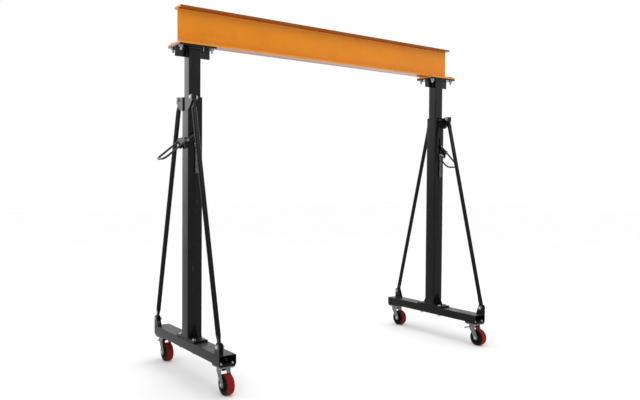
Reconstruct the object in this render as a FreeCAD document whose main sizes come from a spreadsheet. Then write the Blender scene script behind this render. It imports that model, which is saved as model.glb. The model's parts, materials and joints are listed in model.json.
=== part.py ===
"""Portable gantry crane: an I-beam carried on two telescoping legs with swivel casters.

X runs along the beam, Y along the base tubes, Z up. The origin is on the floor in the
middle of the crane. "Near" means -Y and "far" means +Y. Sizes are in millimetres and
degrees, at the lowest height setting.
"""
import FreeCAD
import Part
import Sketcher
import os
import re

from FreeCAD import Placement, Rotation, Vector

# ---------------------------------------------------------------- driving sizes
SIZES = {
    # beam and its end plates
    "beam_length": 2438, "beam_height": 240, "beam_width": 102, "beam_web": 8,
    "beam_flange": 13, "beam_root": 9, "column_show": 319,
    "plate_length": 260, "plate_depth": 190, "plate_thick": 12,
    "head_bolt_inset_x": 22, "head_bolt_inset_y": 29, "flange_bolt_x": 62,
    "flange_bolt_y": 34, "wing_drop": 60, "wing_inset": 8, "nut_end": 30,
    # columns
    "leg_spacing": 2228, "outer_column": 100, "outer_wall": 8, "outer_length": 1583,
    "column_gap": 1, "inner_wall": 5, "column_corner": 6, "rest_gap": 0.3,
    "lift_pitch": 102, "slot_above": 117, "slot_below": 99, "screw_drop": 16,
    "ledge_inset": 6, "ledge_thick": 4, "ledge_reach": 4,
    # base
    "base_length": 1040, "base_height": 62, "base_wall": 5, "base_corner": 5,
    "pad_thick": 8, "foot_length": 282, "foot_thick": 12, "foot_bolt_inset_x": 18,
    "foot_bolt_inset_y": 36, "foot_bolt_end": 16, "gusset_rise": 95, "gusset_run": 58,
    "gusset_toe": 12, "gusset_nose": 8, "plate_web": 8,
    # struts
    "strut_gap": 13, "strut_play": 0.4, "strut_diameter": 32, "strut_flat": 36,
    "strut_flat_length": 58, "strut_low_inset": 23, "strut_low_rise": 51,
    "strut_high_reach": 56, "strut_high_drop": 11, "lug_length": 68, "lug_rise": 74,
    "lug_crown": 30, "lug_bevel": 10, "ear_drop": 88, "ear_edge": 22, "ear_foot": 14,
    "ear_nose": 30, "ear_rise": 6, "ear_crown": 44, "strut_bolt_end": 18,
    # jacking lever and its bracket
    "lever_rod": 14, "lever_arm": 198, "lever_tail": 73,
    "lever_bend": 34, "lever_droop": 39, "pivot_drop": 285, "pivot_out": 65,
    "pivot_boss": 24, "pivot_bolt": 10, "bracket_out": 77,
    "bracket_rise": 18, "bracket_web_drop": 28, "bracket_ear_drop": 53, "bracket_bevel": 10,
    "stop_along": 14, "stop_pin": 8,
    # lock pin and its chain
    "lock_below": 30, "pin_diameter": 12, "pin_play": 1, "pin_out": 84, "pin_back": 0.6,
    "guide_thick": 6, "guide_size": 30, "pin_bar": 7, "pin_bar_length": 44,
    "pin_bar_tilt": 24, "pin_bar_out": 80, "chain_out": 62, "link_wire": 3,
    "link_length": 20, "link_width": 10, "link_slack": 0.2, "ring_play": 4,
    "eye_radius": 8,
    # casters
    "wheel_diameter": 127, "wheel_width": 50, "tread_thick": 7, "tread_round": 3,
    "hub_width": 56, "hub_diameter": 36, "rim_thick": 9, "disc_thick": 16,
    "axle_diameter": 12, "caster_trail": 40, "caster_plate_x": 102, "caster_plate_y": 110,
    "caster_plate_thick": 6, "caster_bolt_inset_x": 12, "caster_bolt_inset_y": 16,
    "caster_bolt_end": 14, "race_diameter": 72, "race_thick": 4, "king_diameter": 20,
    "king_head": 30, "king_head_thick": 5, "fork_head": 34.7,
    "fork_plate": 6, "fork_leg": 4, "fork_slack": 1.5, "fork_half_y": 28,
    "fork_cheek": 26, "fork_tip": 20,
    # brake pedal
    "pedal_pivot_y": 25, "pedal_pivot_drop": 17, "pedal_pin": 8, "pedal_eye": 15,
    "pedal_reach": 66, "pedal_width": 42, "pedal_thick": 5, "pedal_slope": 24,
    "shoe_drop": 38, "shoe_reach": 12,
    # fasteners and fits
    "head_bolt": 16, "foot_bolt": 14, "strut_bolt": 14, "caster_bolt": 10, "small_bolt": 8,
    "head_height": 0.65, "nut_height": 0.8, "hexagon_round": 0.92,
    "hole_play": 0.5, "running_fit": 0.05, "swivel_gap": 0.3,
}

# Sizes that follow from the driving ones
DERIVED = {
    # across the crane
    "leg_x": "leg_spacing / 2",
    "near_reach": "caster_pivot + caster_trail + wheel_diameter / 2",
    "far_reach": "caster_pivot + pedal_pivot_y + (pedal_reach + pedal_thick / 2)"
                 " * cos(pedal_slope) + 1.5 * pedal_thick * sin(pedal_slope)",
    "leg_y": "(near_reach - far_reach) / 2",
    "inner_column": "outer_column - 2 * outer_wall - 2 * column_gap",
    "column_face": "outer_column / 2",
    "base_width": "outer_column + 2 * plate_web",
    "foot_width": "outer_column",
    "bracket_half": "column_face",
    "slot_width": "pin_diameter + 2 * pin_play",
    "lock_hole": "pin_diameter + 2 * pin_play",
    "ring_radius": "pin_diameter / 2 + ring_play",
    "head_bolt_x": "plate_length / 2 - head_bolt_inset_x",
    "head_bolt_y": "plate_depth / 2 - head_bolt_inset_y",
    "foot_bolt_x": "foot_width / 2 - foot_bolt_inset_x",
    "foot_bolt_y": "foot_length / 2 - foot_bolt_inset_y",
    "caster_pivot": "base_length / 2 - caster_plate_y / 2",
    "caster_bolt_x": "caster_plate_x / 2 - caster_bolt_inset_x",
    "caster_bolt_y": "caster_plate_y / 2 - caster_bolt_inset_y",
    "strut_out": "column_face - strut_gap / 2",
    "strut_low_y": "base_length / 2 - strut_low_inset",
    "strut_high_y": "column_face + strut_high_reach",
    "fork_inside": "hub_width / 2 + fork_slack",
    "fork_outside": "fork_inside + fork_leg",
    # from the floor up
    "axle_z": "wheel_diameter / 2",
    "rim_radius": "wheel_diameter / 2 - tread_thick",
    "fork_top": "wheel_diameter + fork_head",
    "race_under": "fork_top + swivel_gap",
    "caster_plate_under": "race_under + race_thick",
    "pad_under": "caster_plate_under + caster_plate_thick",
    "base_under": "pad_under + pad_thick",
    "base_top": "base_under + base_height",
    "foot_top": "base_top + foot_thick",
    "inner_under": "foot_top + rest_gap",
    "outer_top": "foot_top + outer_length",
    "head_under": "outer_top + column_show",
    "head_top": "head_under + plate_thick",
    "beam_under": "head_top + plate_thick",
    "strut_low_z": "base_top + strut_low_rise",
    "strut_high_z": "outer_top - strut_high_drop",
    "strut_run": "strut_low_y - strut_high_y",
    "strut_rise": "strut_high_z - strut_low_z",
    "pivot_height": "outer_top - pivot_drop",
    "lock_height": "pivot_height - lock_below",
    "slot_top": "pivot_height + slot_above",
    "slot_bottom": "pivot_height - slot_below",
    "lever_half": "bracket_half + nut_height * pivot_bolt + swivel_gap + lever_rod / 2",
    "pedal_pivot_z": "fork_top - pedal_pivot_drop",
    # chain links, centre to centre
    "link_pitch": "link_length - 3 * link_wire - link_slack",
    "strand_gap": "link_length - 3 * link_wire - 2 * link_slack",
}

LIFT_HOLES = 13
CHAIN_DOWN = 15
CHAIN_UP = 10
SIDES = (("left", -1), ("right", 1))
ENDS = (("near", -1), ("far", 1))
BRAKED = (("left", "far"), ("right", "near"))

TURN = {
    "X": Rotation(Vector(0, 1, 0), 90),
    "Y": Rotation(Vector(1, 0, 0), -90),
    "Z": Rotation(),
}

doc = FreeCAD.newDocument("GantryCrane")
sheet = doc.addObject("Spreadsheet::Sheet", "Sizes")
for row, (alias, number) in enumerate(SIZES.items(), start=1):
    sheet.set(f"A{row}", alias)
    sheet.set(f"B{row}", str(number))
    sheet.setAlias(f"B{row}", alias)
doc.recompute()

# Heights on the chain: its ring hangs on the pin, its first link hangs in the ring
RING_HEIGHT = "lock_height + pin_diameter / 2 + link_slack + link_wire / 2 - ring_radius"
CHAIN_FIRST = f"{RING_HEIGHT} - ring_radius + link_wire + link_slack - link_length / 2 + link_wire / 2"
CHAIN_EYE = (f"{CHAIN_FIRST} + link_pitch * ({CHAIN_UP} - {CHAIN_DOWN}) + link_length / 2"
             " - 1.5 * link_wire - link_slack + eye_radius")

nodes = []


# ---------------------------------------------------------------- helpers
def expr(formula):
    """Spell out a formula of size names as an expression on the sheet."""
    def spelled(match):
        word = match.group(0)
        if word in DERIVED:
            return "(" + expr(DERIVED[word]) + ")"
        return "Sizes." + word if word in SIZES else word
    return re.sub(r"[a-z][a-z_]*", spelled, str(formula))


def number(formula):
    """The present value of a formula of size names."""
    return float(sheet.evalExpression(expr(formula)))


def bind(thing, **formulas):
    for name, formula in formulas.items():
        thing.setExpression(name, expr(formula))
    return thing


def move(thing, x, y, z, rotation=None):
    """Put a thing at formulas x, y, z, turned by a fixed rotation."""
    thing.Placement = Placement(Vector(), rotation or Rotation())
    for axis, formula in zip("xyz", (x, y, z)):
        thing.setExpression("Placement.Base." + axis, expr(formula))
    return thing


def node(thing, label):
    """Keep a finished thing as a sub-part of the crane."""
    thing.Label = label
    nodes.append(thing)
    return thing


def box(x, y, z, length, width, height):
    """A block centred on x, y, standing on z."""
    block = bind(doc.addObject("Part::Box", "Block"), Length=length, Width=width, Height=height)
    return move(block, f"{x} - ({length}) / 2", f"{y} - ({width}) / 2", z)


def rod(axis, x, y, z, length, diameter):
    """A round bar that starts at x, y, z and runs along +axis."""
    bar = bind(doc.addObject("Part::Cylinder", "Bar"), Radius=f"({diameter}) / 2", Height=length)
    return move(bar, x, y, z, TURN[axis])


def hexagon(axis, x, y, z, length, diameter):
    """A hexagon head or nut for a bolt of this diameter, from x, y, z along +axis."""
    head = doc.addObject("Part::Prism", "Hexagon")
    head.Polygon = 6
    bind(head, Circumradius=f"hexagon_round * ({diameter})", Height=length)
    return move(head, x, y, z, TURN[axis])


def fuse(*parts):
    whole = doc.addObject("Part::MultiFuse", "Union")
    whole.Shapes = list(parts)
    return whole


def cut(base, *tools):
    result = doc.addObject("Part::Cut", "Difference")
    result.Base = base
    result.Tool = tools[0] if len(tools) == 1 else fuse(*tools)
    return result


def group(*parts):
    whole = doc.addObject("Part::Compound", "Group")
    whole.Links = list(parts)
    return whole


def polygon(sketch, corners):
    """A closed outline through corners given as formulas, each held by two distances."""
    first = sketch.GeometryCount
    points = [Vector(number(u), number(v), 0) for u, v in corners]
    for start, end in zip(points, points[1:] + points[:1]):
        sketch.addGeometry(Part.LineSegment(start, end), False)
    for index, (u, v) in enumerate(corners):
        line = first + index
        after = first + (index + 1) % len(corners)
        sketch.addConstraint(Sketcher.Constraint("Coincident", line, 2, after, 1))
        for kind, formula in (("DistanceX", u), ("DistanceY", v)):
            held = sketch.addConstraint(Sketcher.Constraint(kind, -1, 1, line, 1, number(formula)))
            sketch.setExpression(f"Constraints[{held}]", expr(formula))


def circle(sketch, u, v, diameter):
    """A circle whose centre and diameter are formulas."""
    centre = Vector(number(u), number(v), 0)
    ring = sketch.addGeometry(Part.Circle(centre, Vector(0, 0, 1), number(diameter) / 2), False)
    for kind, formula in (("DistanceX", u), ("DistanceY", v)):
        held = sketch.addConstraint(Sketcher.Constraint(kind, -1, 1, ring, 3, number(formula)))
        sketch.setExpression(f"Constraints[{held}]", expr(formula))
    held = sketch.addConstraint(Sketcher.Constraint("Diameter", ring, number(diameter)))
    sketch.setExpression(f"Constraints[{held}]", expr(diameter))


def profile(plane, outlines, circles=()):
    """A body with one sketch on an origin plane, holding closed outlines and circles."""
    body = doc.addObject("PartDesign::Body", "Body")
    sketch = body.newObject("Sketcher::SketchObject", "Outline")
    support = next(f for f in body.Origin.OriginFeatures if f.Role == plane + "_Plane")
    sketch.AttachmentSupport = [(support, "")]
    sketch.MapMode = "FlatFace"
    for corners in outlines:
        polygon(sketch, corners)
    for u, v, diameter in circles:
        circle(sketch, u, v, diameter)
    return body, sketch


def pad(plane, outlines, thickness, x, y, z, circles=()):
    """A profile raised evenly to both sides of its plane, which stands at x, y, z."""
    body, sketch = profile(plane, outlines, circles)
    raised = body.newObject("PartDesign::Pad", "Pad")
    raised.Profile = sketch
    raised.SideType = "Symmetric"
    bind(raised, Length=thickness)
    body.Tip = raised
    return move(body, x, y, z)


def round_edges(body, radius, wanted):
    """Round the edges of a padded body whose middle point passes a test."""
    doc.recompute()
    tip = body.Tip
    names = [f"Edge{index}" for index, edge in enumerate(tip.Shape.Edges, start=1)
             if wanted(edge.CenterOfMass, edge)]
    rounded = body.newObject("PartDesign::Fillet", "Fillet")
    rounded.Base = (tip, names)
    bind(rounded, Radius=radius)
    body.Tip = rounded
    return body


def turned(outline, x, y, z):
    """A body of revolution about X: outline corners are (along the axis, radius)."""
    body, sketch = profile("XY", [outline])
    spun = body.newObject("PartDesign::Revolution", "Revolution")
    spun.Profile = sketch
    spun.ReferenceAxis = (sketch, ["H_Axis"])
    spun.Angle = 360
    body.Tip = spun
    return move(body, x, y, z)


def rectangle(half_u, half_v):
    return [(f"-({half_u})", f"-({half_v})"), (half_u, f"-({half_v})"),
            (half_u, half_v), (f"-({half_u})", half_v)]


def square_tube(plane, width, height, wall, corner, length, x, y, z):
    """A hollow section with rounded outer and inner corners, centred on x, y, z."""
    outer = rectangle(f"({width}) / 2", f"({height}) / 2")
    inner = rectangle(f"({width}) / 2 - {wall}", f"({height}) / 2 - {wall}")
    tube = pad(plane, [outer, inner], length, x, y, z)
    along = {"XY": Vector(0, 0, 1), "XZ": Vector(0, 1, 0), "YZ": Vector(1, 0, 0)}[plane]

    def runs_along(_, edge):
        span = edge.valueAt(edge.LastParameter) - edge.valueAt(edge.FirstParameter)
        return abs(span.normalize().dot(along)) > 0.99
    return round_edges(tube, corner, runs_along)


def bolt(axis, x, y, z, length, diameter, head=-1, nut_at=None):
    """A hexagon bolt whose shank starts at x, y, z and runs along +axis.

    head is -1 when the head sits below the start, +1 when it sits above the far end.
    nut_at is how far along the shank the nut's near face lies.
    """
    thick = f"head_height * ({diameter})"
    step = {"X": (1, 0, 0), "Y": (0, 1, 0), "Z": (0, 0, 1)}[axis]

    def along(formula):
        return [f"{base} + {k} * ({formula})" for base, k in zip((x, y, z), step)]
    start = f"-({thick})" if head < 0 else length
    pieces = [rod(axis, x, y, z, length, diameter),
              hexagon(axis, *along(start), thick, diameter)]
    if nut_at is not None:
        pieces.append(hexagon(axis, *along(nut_at), f"nut_height * ({diameter})", diameter))
    return fuse(*pieces)


# ---------------------------------------------------------------- beam and heads
def build_beam():
    """The I-beam with its two end plates and the bolts that hold the legs' heads."""
    half, web, flange = "beam_width / 2", "beam_web / 2", "beam_height / 2 - beam_flange"
    tall = "beam_height / 2"
    outline = [(f"-{half}", f"-{tall}"), (half, f"-{tall}"), (half, f"-({flange})"),
               (web, f"-({flange})"), (web, flange), (half, flange), (half, tall),
               (f"-{half}", tall), (f"-{half}", flange), (f"-{web}", flange),
               (f"-{web}", f"-({flange})"), (f"-{half}", f"-({flange})")]
    section = pad("YZ", [outline], "beam_length", 0, "leg_y", "beam_under + beam_height / 2")
    near_web = number("beam_web") / 2 + 0.01
    flange_inside = number(flange)

    def is_root(middle, edge):
        return (abs(middle.y) < near_web and abs(abs(middle.z) - flange_inside) < 0.01
                and edge.Length > number("beam_length") - 1)
    section = round_edges(section, "beam_root", is_root)
    holes = []
    plates = []
    bolts = []
    play = "+ 2 * hole_play"
    for _, side in SIDES:
        middle = f"{side} * leg_x"
        corners = [(f"{middle} + {u} * head_bolt_x", f"leg_y + {v} * head_bolt_y")
                   for u in (-1, 1) for v in (-1, 1)]
        inner = [(f"{middle} - {side} * flange_bolt_x", f"leg_y + {v} * flange_bolt_y")
                 for v in (-1, 1)]
        plate = box(middle, "leg_y", "head_top", "plate_length", "plate_depth", "plate_thick")
        bores = [rod("Z", x, y, "head_top - 1", "plate_thick + 2", f"head_bolt {play}")
                 for x, y in corners]
        bores += [rod("Z", x, y, "head_top - 1", "plate_thick + 2", f"small_bolt {play}")
                  for x, y in inner]
        plates.append(cut(plate, *bores))
        for x, y in corners:
            bolts.append(bolt("Z", x, y, "head_under - nut_end", "2 * plate_thick + nut_end",
                              "head_bolt", head=1, nut_at="nut_end - nut_height * head_bolt"))
        for x, y in inner:
            holes.append(rod("Z", x, y, "beam_under - 1", "beam_flange + 2", f"small_bolt {play}"))
            bolts.append(bolt("Z", x, y, "head_under - nut_end / 2",
                              "2 * plate_thick + beam_flange + nut_end / 2", "small_bolt",
                              head=1, nut_at="nut_end / 2 - nut_height * small_bolt"))
    node(cut(section, *holes), "beam")
    node(group(*plates), "beam_plates")
    node(group(*bolts), "head_bolts")


def build_head(name, side):
    """The inner column with the plate and the two wings welded to its top."""
    x = f"{side} * leg_x"
    height = "head_under - inner_under"
    tube = square_tube("XY", "inner_column", "inner_column", "inner_wall", "column_corner",
                       height, x, "leg_y", f"inner_under + ({height}) / 2")
    holes = [rod("Y", x, "leg_y - outer_column", f"lock_height - {step} * lift_pitch",
                 "2 * outer_column", "lock_hole") for step in range(LIFT_HOLES)]
    node(cut(tube, *holes), f"{name}_inner_column")
    plate = box(x, "leg_y", "head_under", "plate_length", "plate_depth", "plate_thick")
    run = "plate_length / 2 - wing_inset - inner_column / 2"
    wings = [box(f"{x} + {k} * (inner_column / 2 + ({run}) / 2)", "leg_y",
                 "head_under - wing_drop", run, "plate_web", "wing_drop") for k in (-1, 1)]
    bores = [rod("Z", f"{x} + {u} * head_bolt_x", f"leg_y + {v} * head_bolt_y",
                 "head_under - 1", "plate_thick + 2", "head_bolt + 2 * hole_play")
             for u in (-1, 1) for v in (-1, 1)]
    bores += [rod("Z", f"{x} - {side} * flange_bolt_x", f"leg_y + {v} * flange_bolt_y",
                  "head_under - 1", "plate_thick + 2", "small_bolt + 2 * hole_play")
              for v in (-1, 1)]
    node(cut(fuse(plate, *wings), *bores), f"{name}_head_plate")


# ---------------------------------------------------------------- legs
def build_base(name, side):
    """The base tube on its caster pads, the foot plate, its gussets and its bolts."""
    x = f"{side} * leg_x"
    tube = square_tube("XZ", "base_width", "base_height", "base_wall", "base_corner",
                       "base_length", x, "leg_y", "base_under + base_height / 2")
    pads = [box(x, f"leg_y + {end} * caster_pivot", "pad_under",
                "caster_plate_x", "caster_plate_y", "pad_thick") for _, end in ENDS]
    feet = [(f"{x} + {u} * foot_bolt_x", f"leg_y + {v} * foot_bolt_y")
            for u in (-1, 1) for v in (-1, 1)]
    low = [(f"{x} + {u} * caster_bolt_x", f"leg_y + {end} * caster_pivot + {v} * caster_bolt_y")
           for _, end in ENDS for u in (-1, 1) for v in (-1, 1)]
    bores = [rod("Z", u, v, "base_under - 1", "base_height + 2", "foot_bolt + 2 * hole_play")
             for u, v in feet]
    bores += [rod("Z", u, v, "pad_under - 1", "pad_thick + base_wall + 2",
                  "caster_bolt + 2 * hole_play") for u, v in low]
    node(cut(fuse(tube, *pads), *bores), f"{name}_base_tube")

    foot_holes = [(f"{u} * foot_bolt_x", f"{v} * foot_bolt_y", "foot_bolt + 2 * hole_play")
                  for u in (-1, 1) for v in (-1, 1)]
    plate = pad("XY", [rectangle("foot_width / 2", "foot_length / 2")], "foot_thick",
                x, "leg_y", "base_top + foot_thick / 2", foot_holes)
    node(plate, f"{name}_foot_plate")

    gussets = []
    for _, end in ENDS:
        root = f"{end} * outer_column / 2"
        toe = f"{end} * (outer_column / 2 + gusset_run)"
        nose = [(root, 0), (toe, 0), (toe, "gusset_toe"),
                (f"{root} + {end} * gusset_nose", "gusset_rise"),
                (root, "gusset_rise")]
        gussets.append(pad("YZ", [nose], "plate_web", x, "leg_y", "foot_top"))
    node(group(*gussets), f"{name}_foot_gussets")

    bolts = [bolt("Z", u, v, "base_under - foot_bolt_end",
                  "base_height + foot_thick + foot_bolt_end", "foot_bolt", head=1,
                  nut_at="foot_bolt_end - nut_height * foot_bolt") for u, v in feet]
    node(group(*bolts), f"{name}_foot_bolts")


def build_column(name, side):
    """The outer column with its slot, pin guide and chain ledge welded on."""
    x = f"{side} * leg_x"
    height = "outer_top - foot_top"
    tube = square_tube("XY", "outer_column", "outer_column", "outer_wall", "column_corner",
                       height, x, "leg_y", f"foot_top + ({height}) / 2")
    face = "leg_y - outer_column / 2"
    guide = box(x, f"{face} - guide_thick / 2", "lock_height - guide_size / 2",
                "guide_size", "guide_thick", "guide_size")
    ledge = box(x, f"{face} - ledge_reach / 2", f"{CHAIN_EYE} - ledge_thick / 2",
                "outer_column - 2 * ledge_inset", "ledge_reach", "ledge_thick")
    eye = doc.addObject("Part::Torus", "Eye")
    bind(eye, Radius1="eye_radius", Radius2="link_wire / 2")
    move(eye, f"{x} + strand_gap", "leg_y - chain_out", CHAIN_EYE, TURN["X"])
    upper = box(x, face, "lock_height + guide_size / 2", "slot_width", "3 * outer_wall",
                "slot_top - lock_height - guide_size / 2")
    lower = box(x, face, "slot_bottom", "slot_width", "3 * outer_wall",
                "lock_height - guide_size / 2 - slot_bottom")
    bore = rod("Y", x, "leg_y - outer_column", "lock_height", "outer_column",
               "pin_diameter + 2 * running_fit")
    screws = [rod("Y", x, "leg_y - outer_column", "outer_top - screw_drop", "outer_column",
                  "small_bolt + 2 * hole_play"),
              rod("Y", x, "leg_y", "lock_height", "outer_column", "small_bolt + 2 * hole_play")]
    node(cut(fuse(tube, guide, ledge, eye), upper, lower, bore, *screws),
         f"{name}_outer_column")


def build_struts(name, side):
    """Two raking struts with the lugs, ears and bolts at their ends."""
    x = f"{side} * leg_x"
    plates_at = [f"{x} + {side} * (outer_column / 2 + plate_web / 2)",
                 f"{x} + {side} * (outer_column / 2 - strut_gap - plate_web / 2)"]
    hole = "strut_bolt + 2 * hole_play"
    lugs, ears, bolts = [], [], []
    for end_name, end in ENDS:
        edge = f"{end} * base_length / 2"
        lug = [(f"{edge} - {end} * lug_length", 0), (edge, 0), (edge, "lug_rise - lug_bevel"),
               (f"{edge} - {end} * lug_bevel", "lug_rise"),
               (f"{edge} - {end} * (lug_bevel + lug_crown)", "lug_rise")]
        low_hole = (f"{end} * strut_low_y", "strut_low_rise", hole)
        roots = (f"{end} * outer_column / 4", f"{end} * outer_column / 2")
        high_hole = (f"{end} * strut_high_y", "strut_high_z - outer_top", hole)
        for place, root in zip(plates_at, roots):
            lugs.append(pad("YZ", [lug], "plate_web", place, "leg_y", "base_top", [low_hole]))
            foot = f"{end} * (column_face + ear_foot)"
            tip = f"{end} * (strut_high_y + ear_edge)"
            ear = [(root, "-ear_drop"), (foot, "-ear_drop"), (tip, "-ear_nose"),
                   (tip, "ear_rise"), (f"{tip} - {end} * ear_crown", "ear_rise"),
                   (f"{tip} - {end} * (ear_crown + 2 * ear_rise)", 0), (root, 0)]
            ears.append(pad("YZ", [ear], "plate_web", place, "leg_y", "outer_top", [high_hole]))
        node(build_strut(f"{x} + {side} * strut_out", end), f"{name}_{end_name}_strut")
        for y, z in ((f"leg_y + {end} * strut_low_y", "strut_low_z"),
                     (f"leg_y + {end} * strut_high_y", "strut_high_z")):
            bolts.append(strut_bolt(side, f"{x} + {side} * strut_out", y, z))
    node(group(*lugs), f"{name}_strut_lugs")
    node(group(*ears), f"{name}_strut_ears")
    node(group(*bolts), f"{name}_strut_bolts")


def strut_bolt(side, x, y, z):
    """A bolt across a pair of lugs, with its head on the outer side of the leg."""
    reach = "strut_gap / 2 + plate_web"
    length = f"2 * ({reach}) + strut_bolt_end"
    if side > 0:
        return bolt("X", f"{x} - ({reach}) - strut_bolt_end", y, z, length, "strut_bolt",
                    head=1, nut_at="strut_bolt_end - nut_height * strut_bolt")
    return bolt("X", f"{x} - ({reach})", y, z, length, "strut_bolt",
                head=-1, nut_at=f"2 * ({reach})")


def build_strut(x, end):
    """A tube with flattened, bored ends, leaning from its lower bolt to its upper one."""
    span = "sqrt(strut_run * strut_run + strut_rise * strut_rise)"
    flat = "strut_gap - strut_play"
    tube = rod("Z", 0, 0, "strut_flat_length", f"{span} - 2 * strut_flat_length",
               "strut_diameter")
    pieces = [tube]
    for z in ("0", span):
        pieces.append(rod("X", f"-({flat}) / 2", 0, z, flat, "strut_flat"))
    length = "strut_flat_length + 12"
    pieces.append(box(0, 0, 0, flat, "strut_flat", length))
    pieces.append(box(0, 0, f"{span} - ({length})", flat, "strut_flat", length))
    bores = [rod("X", "-strut_gap", 0, z, "2 * strut_gap", "strut_bolt + 2 * hole_play")
             for z in ("0", span)]
    strut = cut(fuse(*pieces), *bores)
    move(strut, x, f"leg_y + {end} * strut_low_y", "strut_low_z", Rotation(Vector(end, 0, 0), 1))
    strut.setExpression("Placement.Rotation.Angle", expr("atan(strut_run / strut_rise)"))
    return strut


def build_lever(name, side):
    """The U-shaped jacking lever, its bracket and the bolts set into the column."""
    x = f"{side} * leg_x"
    ear_y = "bracket_half - plate_web / 2"
    web = box(f"{x} + {side} * (bracket_out - plate_web / 2)", "leg_y",
              "pivot_height - bracket_web_drop", "plate_web", "2 * bracket_half",
              "bracket_rise + bracket_web_drop")
    inside, outside = f"{side} * column_face", f"{side} * bracket_out"
    bevel, low = f"{side} * bracket_bevel", "-bracket_ear_drop"
    ears = []
    for _, end in ENDS:
        outline = [(inside, "bracket_rise"), (outside, "bracket_rise"),
                   (outside, f"{low} + bracket_bevel"), (f"{outside} - {bevel}", low),
                   (f"{inside} + {bevel}", low), (inside, f"{low} + bracket_bevel")]
        ears.append(pad("XZ", [outline], "plate_web", x, f"leg_y + {end} * ({ear_y})",
                        "pivot_height"))
    pivot_x = f"{x} + {side} * pivot_out"
    bore = rod("Y", pivot_x, "leg_y - 2 * bracket_half", "pivot_height", "4 * bracket_half",
               "pivot_bolt + 2 * running_fit")
    under = "lever_rod / 2 + stop_pin / 2 + rest_gap"
    stop_out = f"stop_along * cos(lever_droop) - ({under}) * sin(lever_droop)"
    stop_drop = f"stop_along * sin(lever_droop) + ({under}) * cos(lever_droop)"
    stops = [rod("Y", f"{pivot_x} + {side} * ({stop_out})", start,
                 f"pivot_height - ({stop_drop})",
                 "lever_half + lever_rod / 2 - bracket_half", "stop_pin")
             for start in ("leg_y - lever_half - lever_rod / 2", "leg_y + bracket_half")]
    node(cut(fuse(web, *ears, *stops), bore), f"{name}_lever_bracket")

    bolts = []
    head_at = "lever_half + lever_rod / 2 + swivel_gap"
    length = f"{head_at} - bracket_half + plate_web"
    bolts.append(bolt("Y", pivot_x, f"leg_y - ({head_at})", "pivot_height", length,
                      "pivot_bolt", head=-1,
                      nut_at=f"{length} - plate_web - nut_height * pivot_bolt"))
    bolts.append(bolt("Y", pivot_x, "leg_y + bracket_half - plate_web", "pivot_height",
                      length, "pivot_bolt", head=1, nut_at="plate_web"))
    thread = "outer_wall + nut_height * small_bolt"
    bolts.append(bolt("Y", x, "leg_y - column_face - nut_height * small_bolt",
                      "outer_top - screw_drop", thread, "small_bolt", head=-1, nut_at="0"))
    bolts.append(bolt("Y", x, "leg_y + column_face - outer_wall", "lock_height", thread,
                      "small_bolt", head=1, nut_at="outer_wall"))
    node(group(*bolts), f"{name}_column_bolts")

    straight = "lever_arm - lever_bend"
    pieces = []
    for _, end in ENDS:
        y = f"{end} * lever_half"
        start = "-lever_tail" if side > 0 else f"-({straight})"
        pieces.append(rod("X", start, y, 0, f"{straight} + lever_tail", "lever_rod"))
        for u, wide in (("0", "pivot_boss"), (f"{-side} * lever_tail", "pivot_boss - 4")):
            pieces.append(rod("Y", u, f"{y} - lever_rod / 2", 0, "lever_rod", wide))
        corner = doc.addObject("Part::Torus", "Bend")
        bind(corner, Radius1="lever_bend", Radius2="lever_rod / 2")
        corner.Angle3 = 90
        quarter = {(1, 1): 0, (-1, 1): 90, (-1, -1): 180, (1, -1): 270}[(side, end)]
        move(corner, f"{side} * ({straight})", f"{end} * (lever_half - lever_bend)", 0,
             Rotation(Vector(0, 0, 1), quarter))
        pieces.append(corner)
    pieces.append(rod("Y", f"{side} * lever_arm", "lever_bend - lever_half", 0,
                      "2 * (lever_half - lever_bend)", "lever_rod"))
    bores = [rod("Y", 0, "-2 * lever_half", 0, "4 * lever_half", "pivot_bolt + 2 * running_fit"),
             rod("Y", f"{-side} * lever_tail", "-2 * lever_half", 0, "4 * lever_half",
                 "small_bolt")]
    lever = cut(fuse(*pieces), *bores)
    move(lever, pivot_x, "leg_y", "pivot_height", Rotation(Vector(0, side, 0), 1))
    lever.setExpression("Placement.Rotation.Angle", expr("lever_droop"))
    node(lever, f"{name}_lift_lever")


def build_lock(name, side):
    """The lock pin, drawn back from the inner column, and the chain that keeps it."""
    x = f"{side} * leg_x"
    tip = "column_face - outer_wall + pin_back"
    shaft = rod("Y", x, "leg_y - pin_out", "lock_height", f"pin_out - ({tip})", "pin_diameter")
    bar = rod("X", "-pin_bar_length / 2", 0, 0, "pin_bar_length", "pin_bar")
    handle = doc.addObject("Part::Compound", "Handle")
    handle.Links = [bar]
    move(handle, x, "leg_y - pin_bar_out", "lock_height", Rotation(Vector(0, 1, 0), 1))
    handle.setExpression("Placement.Rotation.Angle", expr("pin_bar_tilt"))
    node(fuse(shaft, handle), f"{name}_lock_pin")
    node(build_chain(number(x), number("leg_y - chain_out")), f"{name}_chain")


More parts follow.
